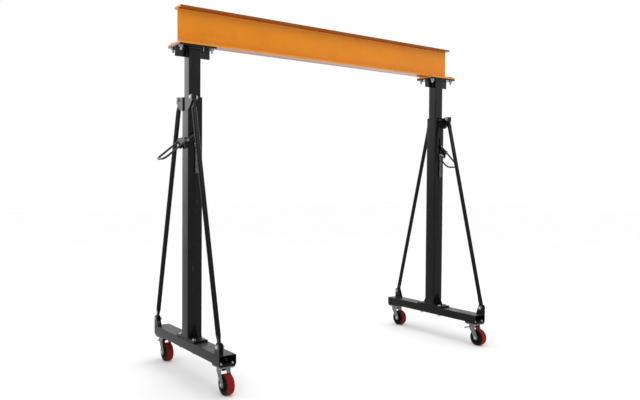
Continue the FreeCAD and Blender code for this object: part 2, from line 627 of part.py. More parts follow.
def build_chain(x, y):
    """Links hanging in a double strand from a ring on the lock pin to the column's eye."""
    wire = number("link_wire") / 2
    bend = (number("link_width") / 2) - wire
    half = number("link_length") / 2 - wire
    up = Vector(0, 0, 1)
    pieces = []
    for sign in (-1, 1):
        pieces.append(Part.makeCylinder(wire, 2 * (half - bend),
                                        Vector(sign * bend, 0, bend - half), up))
        turn = Part.makeTorus(bend, wire, Vector(), up, -180, 180, 180)
        turn.rotate(Vector(), Vector(1, 0, 0), sign * 90)
        turn.translate(Vector(0, 0, sign * (half - bend)))
        pieces.append(turn)
    link = pieces[0].fuse(pieces[1:]).removeSplitter()
    across = Rotation(Vector(0, 0, 1), 90)
    level = Rotation(Vector(0, 1, 0), 90)

    def placed(dx, z, rotation):
        copy = link.copy()
        copy.Placement = Placement(Vector(x + dx, y, z), rotation)
        return copy
    pitch, gap = number("link_pitch"), number("strand_gap")
    first = number(CHAIN_FIRST)
    last = first - pitch * (CHAIN_DOWN - 1)
    links = [placed(0, first - step * pitch, across if step % 2 == 0 else Rotation())
             for step in range(CHAIN_DOWN)]
    links.append(placed(gap / 2, last - half, level))
    links += [placed(gap, last + step * pitch, across if step % 2 == 0 else Rotation())
              for step in range(CHAIN_UP)]
    ring = Part.makeTorus(number("ring_radius"), wire,
                          Vector(x, y, number(RING_HEIGHT)), Vector(0, 1, 0))
    chain = doc.addObject("Part::Feature", "Chain")
    chain.Shape = Part.makeCompound([ring] + links)
    return chain


# ---------------------------------------------------------------- casters
def build_caster_mounts(name, side):
    """The plates, races and king pins that the casters swivel on, with their bolts."""
    x = f"{side} * leg_x"
    plates, bolts = [], []
    for _, end in ENDS:
        y = f"leg_y + {end} * caster_pivot"
        corners = [(f"{x} + {u} * caster_bolt_x", f"{y} + {v} * caster_bolt_y")
                   for u in (-1, 1) for v in (-1, 1)]
        king = "race_thick + fork_plate + 2 * swivel_gap"
        solid = fuse(
            box(x, y, "caster_plate_under", "caster_plate_x", "caster_plate_y",
                "caster_plate_thick"),
            rod("Z", x, y, "race_under", "race_thick", "race_diameter"),
            rod("Z", x, y, f"caster_plate_under - ({king})", king, "king_diameter"),
            rod("Z", x, y, f"caster_plate_under - ({king}) - king_head_thick",
                "king_head_thick", "king_head"))
        bores = [rod("Z", u, v, "caster_plate_under - 1", "caster_plate_thick + 2",
                     "caster_bolt + 2 * hole_play") for u, v in corners]
        plates.append(cut(solid, *bores))
        stack = "caster_plate_thick + pad_thick + base_wall"
        bolts += [bolt("Z", u, v, "caster_plate_under", f"{stack} + caster_bolt_end",
                       "caster_bolt", head=-1, nut_at=stack) for u, v in corners]
    node(group(*plates), f"{name}_caster_plates")
    node(group(*bolts), f"{name}_caster_bolts")


def build_caster(name, side, end_name, end):
    """One swivelling fork with its axle bolt, wheel and tyre."""
    x, pivot = f"{side} * leg_x", f"leg_y + {end} * caster_pivot"
    axle_y = f"{pivot} - caster_trail"
    label = f"{name}_{end_name}"
    top = box(x, pivot, "fork_top - fork_plate", "2 * fork_outside", "2 * fork_half_y",
              "fork_plate")
    disc = rod("Z", x, pivot, "fork_top - fork_plate", "fork_plate", "race_diameter")
    rise = "fork_top - axle_z"
    cheek = [("-fork_half_y", 0), ("fork_half_y", 0), ("fork_half_y", "-fork_cheek"),
             ("fork_tip - caster_trail", f"-({rise})"), ("-caster_trail", f"-({rise})"),
             ("-caster_trail - fork_tip", f"-({rise})"), ("-fork_half_y", "-fork_cheek")]
    legs = []
    for sign in (-1, 1):
        legs.append(pad("YZ", [cheek], "fork_leg", f"{x} + {sign} * (fork_inside + fork_leg / 2)",
                        pivot, "fork_top"))
        start = "fork_inside" if sign > 0 else "-fork_outside"
        legs.append(rod("X", f"{x} + {start}", axle_y, "axle_z", "fork_leg", "2 * fork_tip"))
    bores = [rod("Z", x, pivot, "fork_top - 2 * fork_plate", "3 * fork_plate",
                 "king_diameter + 2 * running_fit"),
             rod("X", f"{x} - 2 * fork_outside", axle_y, "axle_z", "4 * fork_outside",
                 "axle_diameter + 2 * hole_play")]
    braked = (name, end_name) in BRAKED
    pin_y = f"{pivot} + pedal_pivot_y"
    pieces = [top, disc, *legs]
    if braked:
        pieces.append(rod("X", f"{x} - fork_outside - 2", pin_y, "pedal_pivot_z",
                          "2 * fork_outside + 4", "pedal_pin"))
    node(cut(fuse(*pieces), *bores), f"{label}_fork")

    length = "2 * fork_outside + nut_height * axle_diameter + 3"
    node(bolt("X", f"{x} - fork_outside", axle_y, "axle_z", length, "axle_diameter",
              head=-1, nut_at="2 * fork_outside"), f"{label}_axle")

    hub, rim, disc_half = "hub_width / 2", "wheel_width / 2", "disc_thick / 2"
    bore = "axle_diameter / 2 + running_fit"
    right = [(hub, bore), (hub, "hub_diameter / 2"), (disc_half, "hub_diameter / 2 + 5"),
             (disc_half, "rim_radius - rim_thick - 4"), (rim, "rim_radius - rim_thick"),
             (rim, "rim_radius")]
    left = [(f"-({along})", radius) for along, radius in reversed(right)]
    node(turned(right + left, x, axle_y, "axle_z"), f"{label}_wheel")
    outer = "wheel_diameter / 2"
    tyre = [(f"-({rim})", "rim_radius"), (rim, "rim_radius"), (rim, f"{outer} - tread_round"),
            (f"{rim} - tread_round", outer), (f"tread_round - {rim}", outer),
            (f"-({rim})", f"{outer} - tread_round")]
    node(turned(tyre, x, axle_y, "axle_z"), f"{label}_tyre")
    if braked:
        build_pedal(label, x, pin_y)


def build_pedal(label, x, pin_y):
    """The brake pedal: an eye on its cross pin, a foot plate and a shoe for the tyre."""
    eye = rod("X", f"{x} - pedal_width / 2", pin_y, "pedal_pivot_z", "pedal_width", "pedal_eye")
    tread = box(0, "pedal_reach / 2", "-pedal_thick / 2", "pedal_width", "pedal_reach",
                "pedal_thick")
    lip = box(0, "pedal_reach", "-pedal_thick / 2", "pedal_width", "pedal_thick",
              "2 * pedal_thick")
    shoe = [box(0, 0, "-shoe_drop", "pedal_width / 2", "pedal_thick", "shoe_drop"),
            box(0, "-shoe_reach / 2", "-shoe_drop", "pedal_width", "shoe_reach", "pedal_thick")]
    arm = fuse(tread, lip)
    move(arm, x, pin_y, "pedal_pivot_z", Rotation(Vector(-1, 0, 0), 1))
    arm.setExpression("Placement.Rotation.Angle", expr("pedal_slope"))
    foot = fuse(*shoe)
    move(foot, x, pin_y, "pedal_pivot_z")
    bore = rod("X", f"{x} - pedal_width", pin_y, "pedal_pivot_z", "2 * pedal_width",
               "pedal_pin + 2 * running_fit")
    node(cut(fuse(eye, arm, foot), bore), f"{label}_brake_pedal")


# ---------------------------------------------------------------- build and write
build_beam()
for leg_name, leg_side in SIDES:
    build_head(leg_name, leg_side)
    build_base(leg_name, leg_side)
    build_column(leg_name, leg_side)
    build_struts(leg_name, leg_side)
    build_lever(leg_name, leg_side)
    build_lock(leg_name, leg_side)
    build_caster_mounts(leg_name, leg_side)
    for caster_name, caster_end in ENDS:
        build_caster(leg_name, leg_side, caster_name, caster_end)

doc.recompute()
for thing in doc.Objects:
    if {"Invalid", "Error"} & set(thing.State):
        raise RuntimeError(f"{thing.Label} failed: {thing.State}")
os.makedirs("parts", exist_ok=True)
for thing in nodes:
    if thing.Shape.isNull() or not thing.Shape.isValid():
        raise RuntimeError(f"{thing.Label} has no valid shape")
    thing.Shape.exportStep(f"parts/{thing.Label}.step")
print(len(nodes), "sub-parts written")
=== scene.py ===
"""Portable gantry crane: surfaces, fasteners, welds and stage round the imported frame."""
import json
import math

import bmesh
import bpy
import numpy as np
from bpy.props import FloatProperty, FloatVectorProperty, IntProperty, PointerProperty
from bpy.types import Operator, Panel, PropertyGroup
from mathutils import Matrix, Vector


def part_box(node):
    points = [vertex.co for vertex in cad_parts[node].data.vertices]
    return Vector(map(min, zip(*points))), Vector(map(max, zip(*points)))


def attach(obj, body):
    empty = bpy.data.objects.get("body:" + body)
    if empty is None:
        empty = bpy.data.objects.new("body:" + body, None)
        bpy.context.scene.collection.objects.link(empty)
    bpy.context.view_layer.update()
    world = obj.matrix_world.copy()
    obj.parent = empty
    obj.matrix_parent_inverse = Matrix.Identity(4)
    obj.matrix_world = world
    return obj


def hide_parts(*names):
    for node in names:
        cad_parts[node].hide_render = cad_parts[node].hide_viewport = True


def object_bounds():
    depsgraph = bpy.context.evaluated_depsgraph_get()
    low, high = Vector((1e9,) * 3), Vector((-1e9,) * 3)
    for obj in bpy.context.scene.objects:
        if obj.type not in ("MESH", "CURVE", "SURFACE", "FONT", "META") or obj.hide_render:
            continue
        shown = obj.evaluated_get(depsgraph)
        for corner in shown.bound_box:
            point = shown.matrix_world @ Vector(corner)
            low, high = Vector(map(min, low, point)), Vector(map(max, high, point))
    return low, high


bl_info = {
    "name": "Gantry Crane Finisher",
    "version": (1, 0, 0),
    "blender": (4, 5, 0),
    "location": "View3D > Sidebar > Crane",
    "description": "Paints, bolts and welds a portable gantry crane on its packed frame",
    "category": "Object",
}

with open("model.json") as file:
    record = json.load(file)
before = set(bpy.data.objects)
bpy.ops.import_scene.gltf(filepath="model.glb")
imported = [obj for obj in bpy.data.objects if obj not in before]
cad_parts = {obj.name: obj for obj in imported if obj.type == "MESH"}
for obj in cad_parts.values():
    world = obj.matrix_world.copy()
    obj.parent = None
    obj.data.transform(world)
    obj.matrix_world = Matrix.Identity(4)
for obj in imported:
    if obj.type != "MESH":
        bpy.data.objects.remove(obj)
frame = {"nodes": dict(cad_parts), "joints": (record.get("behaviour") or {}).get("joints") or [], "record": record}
CAD_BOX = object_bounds()
BODY_OF = {node: body for body, nodes in frame["record"]["behaviour"]["bodies"].items()
           for node in nodes}
SIDES = ("left", "right")
ENDS = ("near", "far")
AXES = np.eye(3)


# -------- settings
def colour(name, description, default):
    """A colour that a user may change, as linear red, green and blue."""
    return FloatVectorProperty(name=name, description=description, default=default,
                               subtype="COLOR", size=3, min=0, max=1)


def measure(name, description, default, subtype="DISTANCE", unit="LENGTH", least=0.0):
    """A number that a user may change, which is a length in metres unless it says otherwise."""
    return FloatProperty(name=name, description=description, default=default,
                         subtype=subtype, unit=unit, min=least)


class CraneFinish(PropertyGroup):
    """Colours of the crane's paints, metals and treads."""
    beam: colour("Beam paint", "Paint on the beam and its end plates", (0.78, 0.257, 0.006))
    # Dark beam colour that stands for shade: painted shade on the beam's undersides and top flange edges.
    thin: colour("Thin beam paint", "Beam paint where it is sprayed thin and dark",
                 (0.17, 0.028, 0.001))
    frame: colour("Frame paint", "Paint on the columns, bases and braces",
                  (0.0055, 0.0055, 0.006))
    zinc: colour("Zinc", "Plating on forks and pressed plates", (0.170, 0.178, 0.170))
    bright: colour("Bright plating", "Plating on bolts, pins and chain", (0.46, 0.47, 0.47))
    core: colour("Wheel core", "Paint on the cast wheel cores", (0.006, 0.006, 0.006))
    tread: colour("Tread", "Moulded tread of the caster wheels", (0.235, 0.010, 0.005))
    dust: colour("Dust", "Workshop dust that settles on upward faces", (0.30, 0.28, 0.25))


class CraneDetail(PropertyGroup):
    """Sizes of the small shapes that finish the crane."""
    edge_round: measure("Edge rounding", "Radius that takes the sharpness off cut edges", 0.0012)
    weld_size: measure("Weld leg", "Leg length of the fillet welds", 0.005)
    weld_ripple: measure("Weld ripple", "Distance between the ripples of a weld bead", 0.0045,
                         least=0.001)
    washer_thickness: measure("Washer thickness", "Thickness of the plain washers", 0.0022)
    thread_pitch: measure("Thread pitch", "Distance between crests of the bolt threads", 0.0022,
                          least=0.0005)


class StrutSize(PropertyGroup):
    """Sizes of the raking struts."""
    diameter: measure("Tube", "Diameter of the strut's tube", 0.032)
    flat_width: measure("Flat width", "Width of the pressed ends", 0.036)
    flat_thickness: measure("Flat thickness", "Thickness of the pressed ends", 0.0126)
    flat_length: measure("Flat length", "From a bolt to where the tube starts to open", 0.040)
    neck_length: measure("Neck length", "Length over which the tube opens out", 0.045)


class LeverSize(PropertyGroup):
    """Sizes of the jacking levers and of the lock pins' cross bars."""
    bar: measure("Bar", "Diameter of the lever's round bar", 0.014)
    bend: measure("Bend", "Radius of the two bends at the middle of the bar", 0.034)
    pivot_eye: measure("Pivot eye", "Diameter of the eye on the pivot bolt", 0.024)
    tail_eye: measure("Tail eye", "Diameter of the eye at the short end", 0.020)
    rivet: measure("Rivet", "Diameter of the snap heads on the short end", 0.011)
    cross_bar: measure("Cross bar", "Diameter of the bar through a lock pin", 0.007)


class CasterSize(PropertyGroup):
    """Sizes of the casters."""
    ribs: IntProperty(
        name="Ribs", description="Stiffening ribs on each face of a wheel core",
        default=6, min=3)
    bore: measure("Bore", "Diameter of a wheel's bore", 0.0122)
    hub: measure("Hub", "Diameter of a wheel's hub", 0.036)
    shoulder: measure("Shoulder", "Radius of a tyre's shoulders", 0.0036)
    race: measure("Race", "Diameter of the rolled lip of a ball race", 0.0744)
    race_lip: measure("Race lip", "Radius of the rolled lip of a ball race", 0.0019)
    cap: measure("King cap", "Diameter of the round cap under a fork", 0.040)
    cap_drop: measure("King cap drop", "How far the cap under a fork hangs down", 0.016)
    pedal_slope: measure("Pedal slope", "How far a pedal's tread leans down",
                         math.radians(24.0), "ANGLE", "ROTATION")


class StageSize(PropertyGroup):
    """Floor, lights and camera."""
    floor: measure("Floor", "Side of the square floor", 60.0)
    surround: measure("Surround", "Strength of the white surround", 1.0, "NONE", "NONE")
    near_surround: measure("Near surround", "Strength of the surround on the near side", 0.42,
                           "NONE", "NONE")
    key_power: measure("Overhead power", "Power of the overhead light", 60.0, "POWER", "POWER")
    side_power: measure("Side power", "Power of the tall light on the far left", 6.0,
                        "POWER", "POWER")
    sky: measure("Sky strength", "Strength of the wide light from high in front", 1.3,
                 "NONE", "NONE")
    sky_width: measure("Sky width", "How wide the high light is, which softens its shadows",
                       1.2, "ANGLE", "ROTATION")
    place: FloatVectorProperty(
        name="Camera place", description="Where the camera stands",
        subtype="TRANSLATION", unit="LENGTH", default=(-2.932, -4.0566, 1.278))
    heading: measure("Heading", "Turn of the camera from the far side towards the right",
                     0.61187, "ANGLE", "ROTATION", least=-math.pi)
    pitch: measure("Pitch", "Lift of the camera's axis", -0.025176, "ANGLE", "ROTATION",
                   least=-math.pi)
    roll: measure("Roll", "Roll of the camera", 0.007498, "ANGLE", "ROTATION", least=-math.pi)
    lens: measure("Lens", "Focal length of the camera", 37.19, "DISTANCE_CAMERA", "CAMERA",
                  least=1.0)


# -------- shader arithmetic
def arithmetic(operation, swapped=False):
    """A method that joins a link to another value in a Math node."""
    def method(self, other=0.0):
        pair = (other, self) if swapped else (self, other)
        return self.shop.out("ShaderNodeMath", {"operation": operation}, dict(enumerate(pair)))
    return method


class Link:
    """A shader socket that adds Math nodes when it is used in arithmetic."""

    def __init__(self, shop, socket):
        self.shop = shop
        self.socket = socket

    __add__ = __radd__ = arithmetic("ADD")
    __sub__ = arithmetic("SUBTRACT")
    __rsub__ = arithmetic("SUBTRACT", swapped=True)
    __mul__ = __rmul__ = arithmetic("MULTIPLY")
    __abs__ = arithmetic("ABSOLUTE")


class Board:
    """A node tree that is being filled. Every node comes from add."""

    def __init__(self, tree):
        self.tree = tree
        tree.nodes.clear()

    def add(self, kind, settings=None, inputs=None):
        """A node of this kind, its settings first and then its sockets' values or links."""
        node = self.tree.nodes.new(kind)
        for key, value in (settings or {}).items():
            setattr(node, key, value)
        for key, value in (inputs or {}).items():
            self.feed(node.inputs[key], value)
        return node

    def feed(self, socket, value):
        """Links a socket to another one, or sets its value."""
        if isinstance(value, Link):
            self.tree.links.new(value.socket, socket)
        else:
            socket.default_value = value

    def out(self, kind, settings=None, inputs=None, output=0):
        """One output of a new node."""
        return Link(self, self.add(kind, settings, inputs).outputs[output])

    def ramp(self, value, low, high):
        """0 below low, 1 above high, smooth between."""
        return self.out("ShaderNodeMapRange", {"interpolation_type": "SMOOTHSTEP"},
                        {"Value": value, "From Min": low, "From Max": high})


class Shop(Board):
    """One material under construction, with a Principled shader at its end."""

    def __init__(self, name, **constants):
        self.material = bpy.data.materials.new(name)
        self.material.use_nodes = True
        super().__init__(self.material.node_tree)
        self.shader = self.add("ShaderNodeBsdfPrincipled", inputs=constants)
        self.add("ShaderNodeOutputMaterial", inputs={"Surface": Link(self, self.shader.outputs[0])})
        self.place = self.out("ShaderNodeTexCoord", output="Object")

    def finish(self, **varying):
        """Connects what changes over the surface and returns the material."""
        for key, value in varying.items():
            self.feed(self.shader.inputs[key.replace("_", " ")], value)
        return self.material

    def coordinate(self, axis, vector=None):
        """One coordinate of the surface's place, or of another vector."""
        return self.out("ShaderNodeSeparateXYZ", inputs={"Vector": vector or self.place},
                        output=axis)

    def stretched(self, x, y, z):
        """The surface's place with each axis scaled by a factor."""
        return self.out("ShaderNodeMapping", inputs={"Vector": self.place, "Scale": (x, y, z)})

    def noise(self, scale, detail=3.0, roughness=0.55, place=None):
        """Soft noise: features to the metre, how many octaves, and how strong the fine ones."""
        return self.out("ShaderNodeTexNoise", inputs={
            "Vector": place or self.place, "Scale": scale, "Detail": detail,
            "Roughness": roughness})

    def cells(self, scale):
        """A random brightness for each cell of a Voronoi pattern."""
        tint = self.out("ShaderNodeTexVoronoi", inputs={"Vector": self.place, "Scale": scale},
                        output="Color")
        return self.out("ShaderNodeSeparateColor", inputs={"Color": tint}, output="Red")

    def mix(self, factor, first, second):
        """A colour between two colours, given as links or as red, green and blue."""
        first, second = (tint if isinstance(tint, Link) else (*tint, 1.0)
                         for tint in (first, second))
        return self.out("ShaderNodeMix", {"data_type": "RGBA"},
                        {"Factor": factor, "A": first, "B": second}, output=2)

    def upward(self):
        """1 where the surface faces up, 0 where it stands or faces down."""
        normal = self.out("ShaderNodeNewGeometry", output="Normal")
        return self.ramp(self.coordinate("Z", normal), 0.55, 0.95)

    def downward(self):
        """1 where the surface faces down, 0 where it stands or faces up: painted steel puts its painted shade
        there.
        """
        normal = self.out("ShaderNodeNewGeometry", output="Normal")
        return self.ramp(0.0 - self.coordinate("Z", normal), 0.3, 0.9)

    def coat(self):
        """Weight of the gloss coat: worn thin up to chest height, whole out of reach."""
        return 0.02 + self.ramp(self.coordinate("Z"), 1.0, 2.2) * 0.5

    def tyre_side_shade(self):
        """1 on the flat sides of the tyres, 0 on their treads: the tread's painted shade goes there."""
        low, high = corner_box("right_near_tyre")
        centre, rim = (low[0] + high[0]) / 2, (high[0] - low[0]) / 2
        return self.ramp(abs(abs(self.coordinate("X")) - centre), rim - 0.0022, rim - 0.0010)

    def flange_edge_shade(self):
        """1 on the rolled edges of the beam's top flange, 0 elsewhere: the beam paint puts painted shade there."""
        low, high = corner_box("beam")
        half, middle = (high - low) / 2, (low + high) / 2
        edge = self.ramp(abs(self.coordinate("Y") - middle[1]), half[1] - 0.0012, half[1] - 0.0004)
        return edge * self.ramp(self.coordinate("Z"), middle[2], middle[2] + 0.01)

    def bump(self, height, depth, strength):
        """A bent normal from a height between 0 and 1, which stands for a depth in metres."""
        return self.out("ShaderNodeBump", inputs={
            "Height": height, "Distance": depth, "Strength": strength})


# -------- materials
def shade(tint, factor):
    """A colour made darker or lighter by a factor."""
    return tuple(min(1.0, channel * factor) for channel in tint)


def painted_steel(name, tint, thin, dust, roughness, streaks, gloss=0.11, rolled=False):
    """Gloss paint: orange peel, slow waviness, scuffs, and dust on upward faces.

    Undersides, and the rolled edges of a beam's top flange, are darkened towards a dark colour as painted shade.
    The gloss coat has worn thin where hands and boots reach it, and is whole above that. Scuffs run the way that
    the streaks are stretched.
    """
    shop = Shop(name, **{"Coat Roughness": 0.08, "Specular IOR Level": gloss})
    cloud = shop.noise(5.0, 4.0)
    scuff = shop.ramp(shop.noise(38.0, 6.0, 0.7, shop.stretched(*streaks)), 0.60, 0.72)
    grime = shop.ramp(shop.noise(9.0, 7.0, 0.68), 0.52, 0.78)
    settled = shop.upward() * shop.ramp(shop.noise(14.0, 5.0), 0.25, 0.85)
    base = shop.mix(cloud, shade(tint, 0.86), shade(tint, 1.12))
    base = shop.mix(grime * 0.35, base, shade(tint, 0.55))
    base = shop.mix(scuff * 0.10, base, dust)
    base = shop.mix(settled * 0.16, base, dust)
    # Painted shade: faces turned down, and on the beam the top flange's edges, mix towards the dark colour thin.
    painted_shade = shop.downward() + shop.flange_edge_shade() if rolled else shop.downward()
    base = shop.mix(painted_shade * 0.85, base, thin)
    peel, wave = shop.noise(420.0, 2.0), shop.noise(26.0, 2.0)
    return shop.finish(
        Base_Color=base, Roughness=roughness + grime * 0.10 + scuff * 0.16 + settled * 0.22,
        Coat_Weight=shop.coat() * (1.0 - settled * 0.6 - scuff * 0.5),
        Normal=shop.bump(peel * 0.25 + wave + scuff * 0.15, 0.0006, 0.35))


def sliding_steel(name, tint, dust):
    """Paint on a telescoping tube, with long upright rub marks down to dull steel."""
    shop = Shop(name, **{"Coat Roughness": 0.1, "Specular IOR Level": 0.11})
    lines = shop.noise(30.0, 5.0, 0.65, shop.stretched(6.0, 6.0, 0.12))
    rubbed = shop.ramp(lines, 0.60, 0.70) * shop.ramp(shop.noise(7.0, 3.0), 0.35, 0.65)
    settled = shop.upward() * 0.2
    base = shop.mix(rubbed * 0.30, shade(tint, 1.1), (0.24, 0.24, 0.25))
    base = shop.mix(settled, base, dust)
    height = shop.noise(26.0, 2.0) + rubbed * -0.3
    return shop.finish(Base_Color=base, Metallic=rubbed * 0.5, Roughness=0.20 + rubbed * 0.18,
                       Coat_Weight=shop.coat() * (1.0 - rubbed),
                       Normal=shop.bump(height, 0.0006, 0.35))


def pressed_zinc(name, tint):
    """Dull zinc plate: soft spangle cells, water marks and fine rolling lines."""
    shop = Shop(name, Metallic=0.85)
    spangle = shop.cells(160.0)
    marks = shop.ramp(shop.noise(22.0, 6.0, 0.65), 0.45, 0.75)
    lines = shop.noise(90.0, 3.0, 0.5, shop.stretched(1.0, 8.0, 1.0))
    base = shop.mix(spangle * 0.5, shade(tint, 0.86), shade(tint, 1.1))
    base = shop.mix(marks * 0.4, base, shade(tint, 0.62))
    return shop.finish(Base_Color=base, Roughness=0.34 + spangle * 0.10 + marks * 0.16,
                       Normal=shop.bump(lines + spangle * 0.4, 0.00012, 0.5))


def bright_plating(name, tint):
    """Bright plated steel: faint yellow and blue bloom and fine turning marks."""
    shop = Shop(name, Metallic=0.9)
    bloom = shop.noise(70.0, 3.0)
    grime = shop.ramp(shop.noise(120.0, 5.0, 0.7), 0.55, 0.75)
    base = shop.mix(bloom, (tint[0], tint[1] * 0.98, tint[2] * 0.94), tint)
    base = shop.mix(grime * 0.45, base, shade(tint, 0.4))
    turning = shop.noise(900.0, 2.0)
    return shop.finish(Base_Color=base, Roughness=0.20 + grime * 0.3 + bloom * 0.06,
                       Normal=shop.bump(turning, 0.00006, 0.5))


def cast_iron(name, tint):
    """Painted casting: sand-grain skin, duller in its hollows."""
    shop = Shop(name, **{"Specular IOR Level": 0.08})
    grain = shop.noise(650.0, 4.0, 0.7)
    patch = shop.noise(30.0, 4.0)
    base = shop.mix(patch, shade(tint, 0.8), shade(tint, 2.2))
    return shop.finish(Base_Color=base, Roughness=0.42 + grain * 0.16,
                       Normal=shop.bump(grain, 0.0003, 0.5))


def moulded_tread(name, tint, dust):
    """Moulded tread: tiny pits, scuffed bands round the wheel, floor dust, and painted shade on the flat sides."""
    shop = Shop(name, **{"Specular IOR Level": 0.05})
    rolled = shop.ramp(shop.noise(20.0, 6.0, 0.7, shop.stretched(9.0, 1.0, 1.0)), 0.42, 0.72)
    pits = shop.ramp(shop.noise(500.0, 3.0), 0.55, 0.70)
    base = shop.mix(shop.noise(12.0, 3.0), shade(tint, 0.72), shade(tint, 1.2))
    base = shop.mix(rolled * 0.10, base, shade(dust, 0.15))
    base = shop.mix(pits * 0.3, base, shade(tint, 0.4))
    # Painted shade: the tyre's flat sides are darkened almost to black.
    base = shop.mix(shop.tyre_side_shade(), base, shade(tint, 0.06))
    return shop.finish(Base_Color=base, Roughness=0.52 + rolled * 0.2,
                       Normal=shop.bump(pits * -1.0 + rolled * 0.3, 0.0004, 0.6))


def pale_floor(name):
    """Plain pale studio floor with a barely visible mottling."""
    shop = Shop(name, **{"Specular IOR Level": 0.2})
    base = shop.mix(shop.noise(1.4, 3.0), (0.86, 0.86, 0.86), (0.90, 0.90, 0.90))
    return shop.finish(Base_Color=base, Roughness=0.75 + shop.noise(3.0, 2.0) * 0.05)


MATERIALS = {}


def material(name):
    """The named finish, made the first time that it is asked for."""
    if name not in MATERIALS:
        look = bpy.context.scene.crane_finish
        beam, thin, paint, zinc, bright, core, tread, dust = (tuple(tint) for tint in (
            look.beam, look.thin, look.frame, look.zinc, look.bright, look.core, look.tread,
            look.dust))
        # The second colour of each painted steel is its painted shade, for undersides and the beam's flange edges.
        recipe, *inputs = {
            "beam_paint": (painted_steel, beam, thin, dust, 0.30, (0.15, 1.0, 1.0), 0.11, True),
            "frame_paint": (painted_steel, paint, shade(paint, 0.22), dust, 0.22,
                            (1.0, 1.0, 0.3)),
            "lever_paint": (painted_steel, shade(paint, 1.1), shade(paint, 0.25), dust, 0.18,
                            (1.0, 1.0, 1.0), 0.34),
            "sliding_paint": (sliding_steel, paint, dust),
            "zinc": (pressed_zinc, zinc),
            "bright_zinc": (bright_plating, bright),
            "chain_zinc": (bright_plating, shade(bright, 0.55)),
            "wheel_core": (cast_iron, core),
            "tread": (moulded_tread, tread, dust),
            "floor": (pale_floor,),
        }[name]
        MATERIALS[name] = recipe(name, *inputs)
    return MATERIALS[name]


# -------- meshes from arrays
def grid_faces(rows, columns, around, start):
    """Corner numbers of the faces of a rows x columns grid, closed round its columns."""
    row, column = np.meshgrid(np.arange(rows - 1), np.arange(columns if around else columns - 1),
                              indexing="ij")
    after = (column + 1) % columns
    corners = np.stack([row * columns + column, row * columns + after,
                        (row + 1) * columns + after, (row + 1) * columns + column], axis=-1)
    return corners.reshape(-1, 4) + start


def make_piece(name, sheets, finish, body, stands_for=(), sharp=35.0):
    """One object from grids of points, each (rows, columns, 3) and closed round its columns.

    Rows that shrink to a point are poles: their corners merge and the fans stay closed.
    """
    points, faces, start = [], [], 0
    for sheet in sheets:
        rows, columns = sheet.shape[:2]
        points.append(sheet.reshape(-1, 3))
        faces.append(grid_faces(rows, columns, True, start))
        start += rows * columns
    mesh = bpy.data.meshes.new(name)
    mesh.from_pydata(np.concatenate(points), [], np.concatenate(faces).tolist())
    return finish_piece(name, mesh, finish, body, stands_for, sharp)


def stand_in(node, sheets, finish, sharp=35.0):
    """New surfaces in a CAD node's place, on its body."""
    return make_piece(node + "_finished", sheets, finish, BODY_OF[node], (node,), sharp)


def finish_piece(name, mesh, finish, body, stands_for=(), sharp=35.0):
    """Merges doubles, turns faces outwards, shades, paints and mounts a mesh on its body."""
    work = bmesh.new()
    work.from_mesh(mesh)
    bmesh.ops.remove_doubles(work, verts=work.verts, dist=2e-6)
    bmesh.ops.dissolve_degenerate(work, edges=work.edges, dist=1e-7)
    bmesh.ops.recalc_face_normals(work, faces=work.faces)
    work.to_mesh(mesh)
    work.free()
    mesh.shade_smooth()
    mesh.set_sharp_from_angle(angle=math.radians(sharp))
    mesh.materials.clear()
    mesh.materials.append(material(finish))
    piece = bpy.data.objects.new(name, mesh)
    bpy.context.scene.collection.objects.link(piece)
    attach(piece, body)
    if stands_for:
        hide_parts(*stands_for)
    return piece


def extent(points):
    """The lowest and the highest corner of a cloud of points."""
    return points.min(axis=0), points.max(axis=0)


def corner_box(node):
    """The lowest and the highest corner of a CAD node."""
    low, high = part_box(node)
    return np.array(low), np.array(high)


def pivot_of(node):
    """Where the joint that carries a CAD node turns."""
    return np.array(next(joint["pos_m"] for joint in frame["joints"]
                         if joint["child"] == BODY_OF[node]))


def node_arrays(node):
    """A CAD node's corner points and triangles, with doubled corners merged."""
    mesh = frame["nodes"][node].data
    points = np.empty(len(mesh.vertices) * 3)
    mesh.vertices.foreach_get("co", points)
    points = points.reshape(-1, 3)
    mesh.calc_loop_triangles()
    corners = np.empty(len(mesh.loop_triangles) * 3, dtype=np.int64)
    mesh.loop_triangles.foreach_get("vertices", corners)
    keys = np.round(points * 1e6).astype(np.int64)
    _, first, merged = np.unique(keys, axis=0, return_index=True, return_inverse=True)
    return points[first], merged.reshape(-1)[corners].reshape(-1, 3)


def solids(node):
    """The corner points of each separate solid of a CAD node.

    Every corner takes the lowest number among the triangles that it touches, again and
    again, until the numbers settle: corners with one number are one solid.
    """
    points, triangles = node_arrays(node)
    label = np.arange(len(points))
    while True:
        lowest = label[triangles].min(axis=1)
        spread = label.copy()
        np.minimum.at(spread, triangles.ravel(), np.repeat(lowest, 3))
        spread = spread[spread]
        if (spread == label).all():
            return [points[label == value] for value in np.unique(label)]
        label = spread


def blocks(node):
    """The lowest and the highest corner of each separate solid of a CAD node."""
    return [extent(points) for points in solids(node)]


def softened(node, finish):
    """A merged copy of a CAD node with its cut edges rounded, standing for the node."""
    source = frame["nodes"][node].data
    cut = 32.0
    piece = finish_piece(node + "_finished", source.copy(), finish, BODY_OF[node], (node,),
                         cut)
    work = bmesh.new()
    work.from_mesh(piece.data)
    bmesh.ops.dissolve_limit(work, angle_limit=math.radians(0.5), use_dissolve_boundaries=False,
                             verts=work.verts, edges=work.edges)
    work.to_mesh(piece.data)
    work.free()
    bevel = piece.modifiers.new("Cut edges", "BEVEL")
    bevel.width = bpy.context.scene.crane_detail.edge_round
    bevel.segments = 2
    bevel.limit_method = "ANGLE"
    bevel.angle_limit = math.radians(cut)
    bevel.harden_normals = True
    bevel.use_clamp_overlap = True
    return piece


def circle_of(steps):
    """Angles round a full turn."""
    return np.linspace(0, 2 * math.pi, steps, endpoint=False)


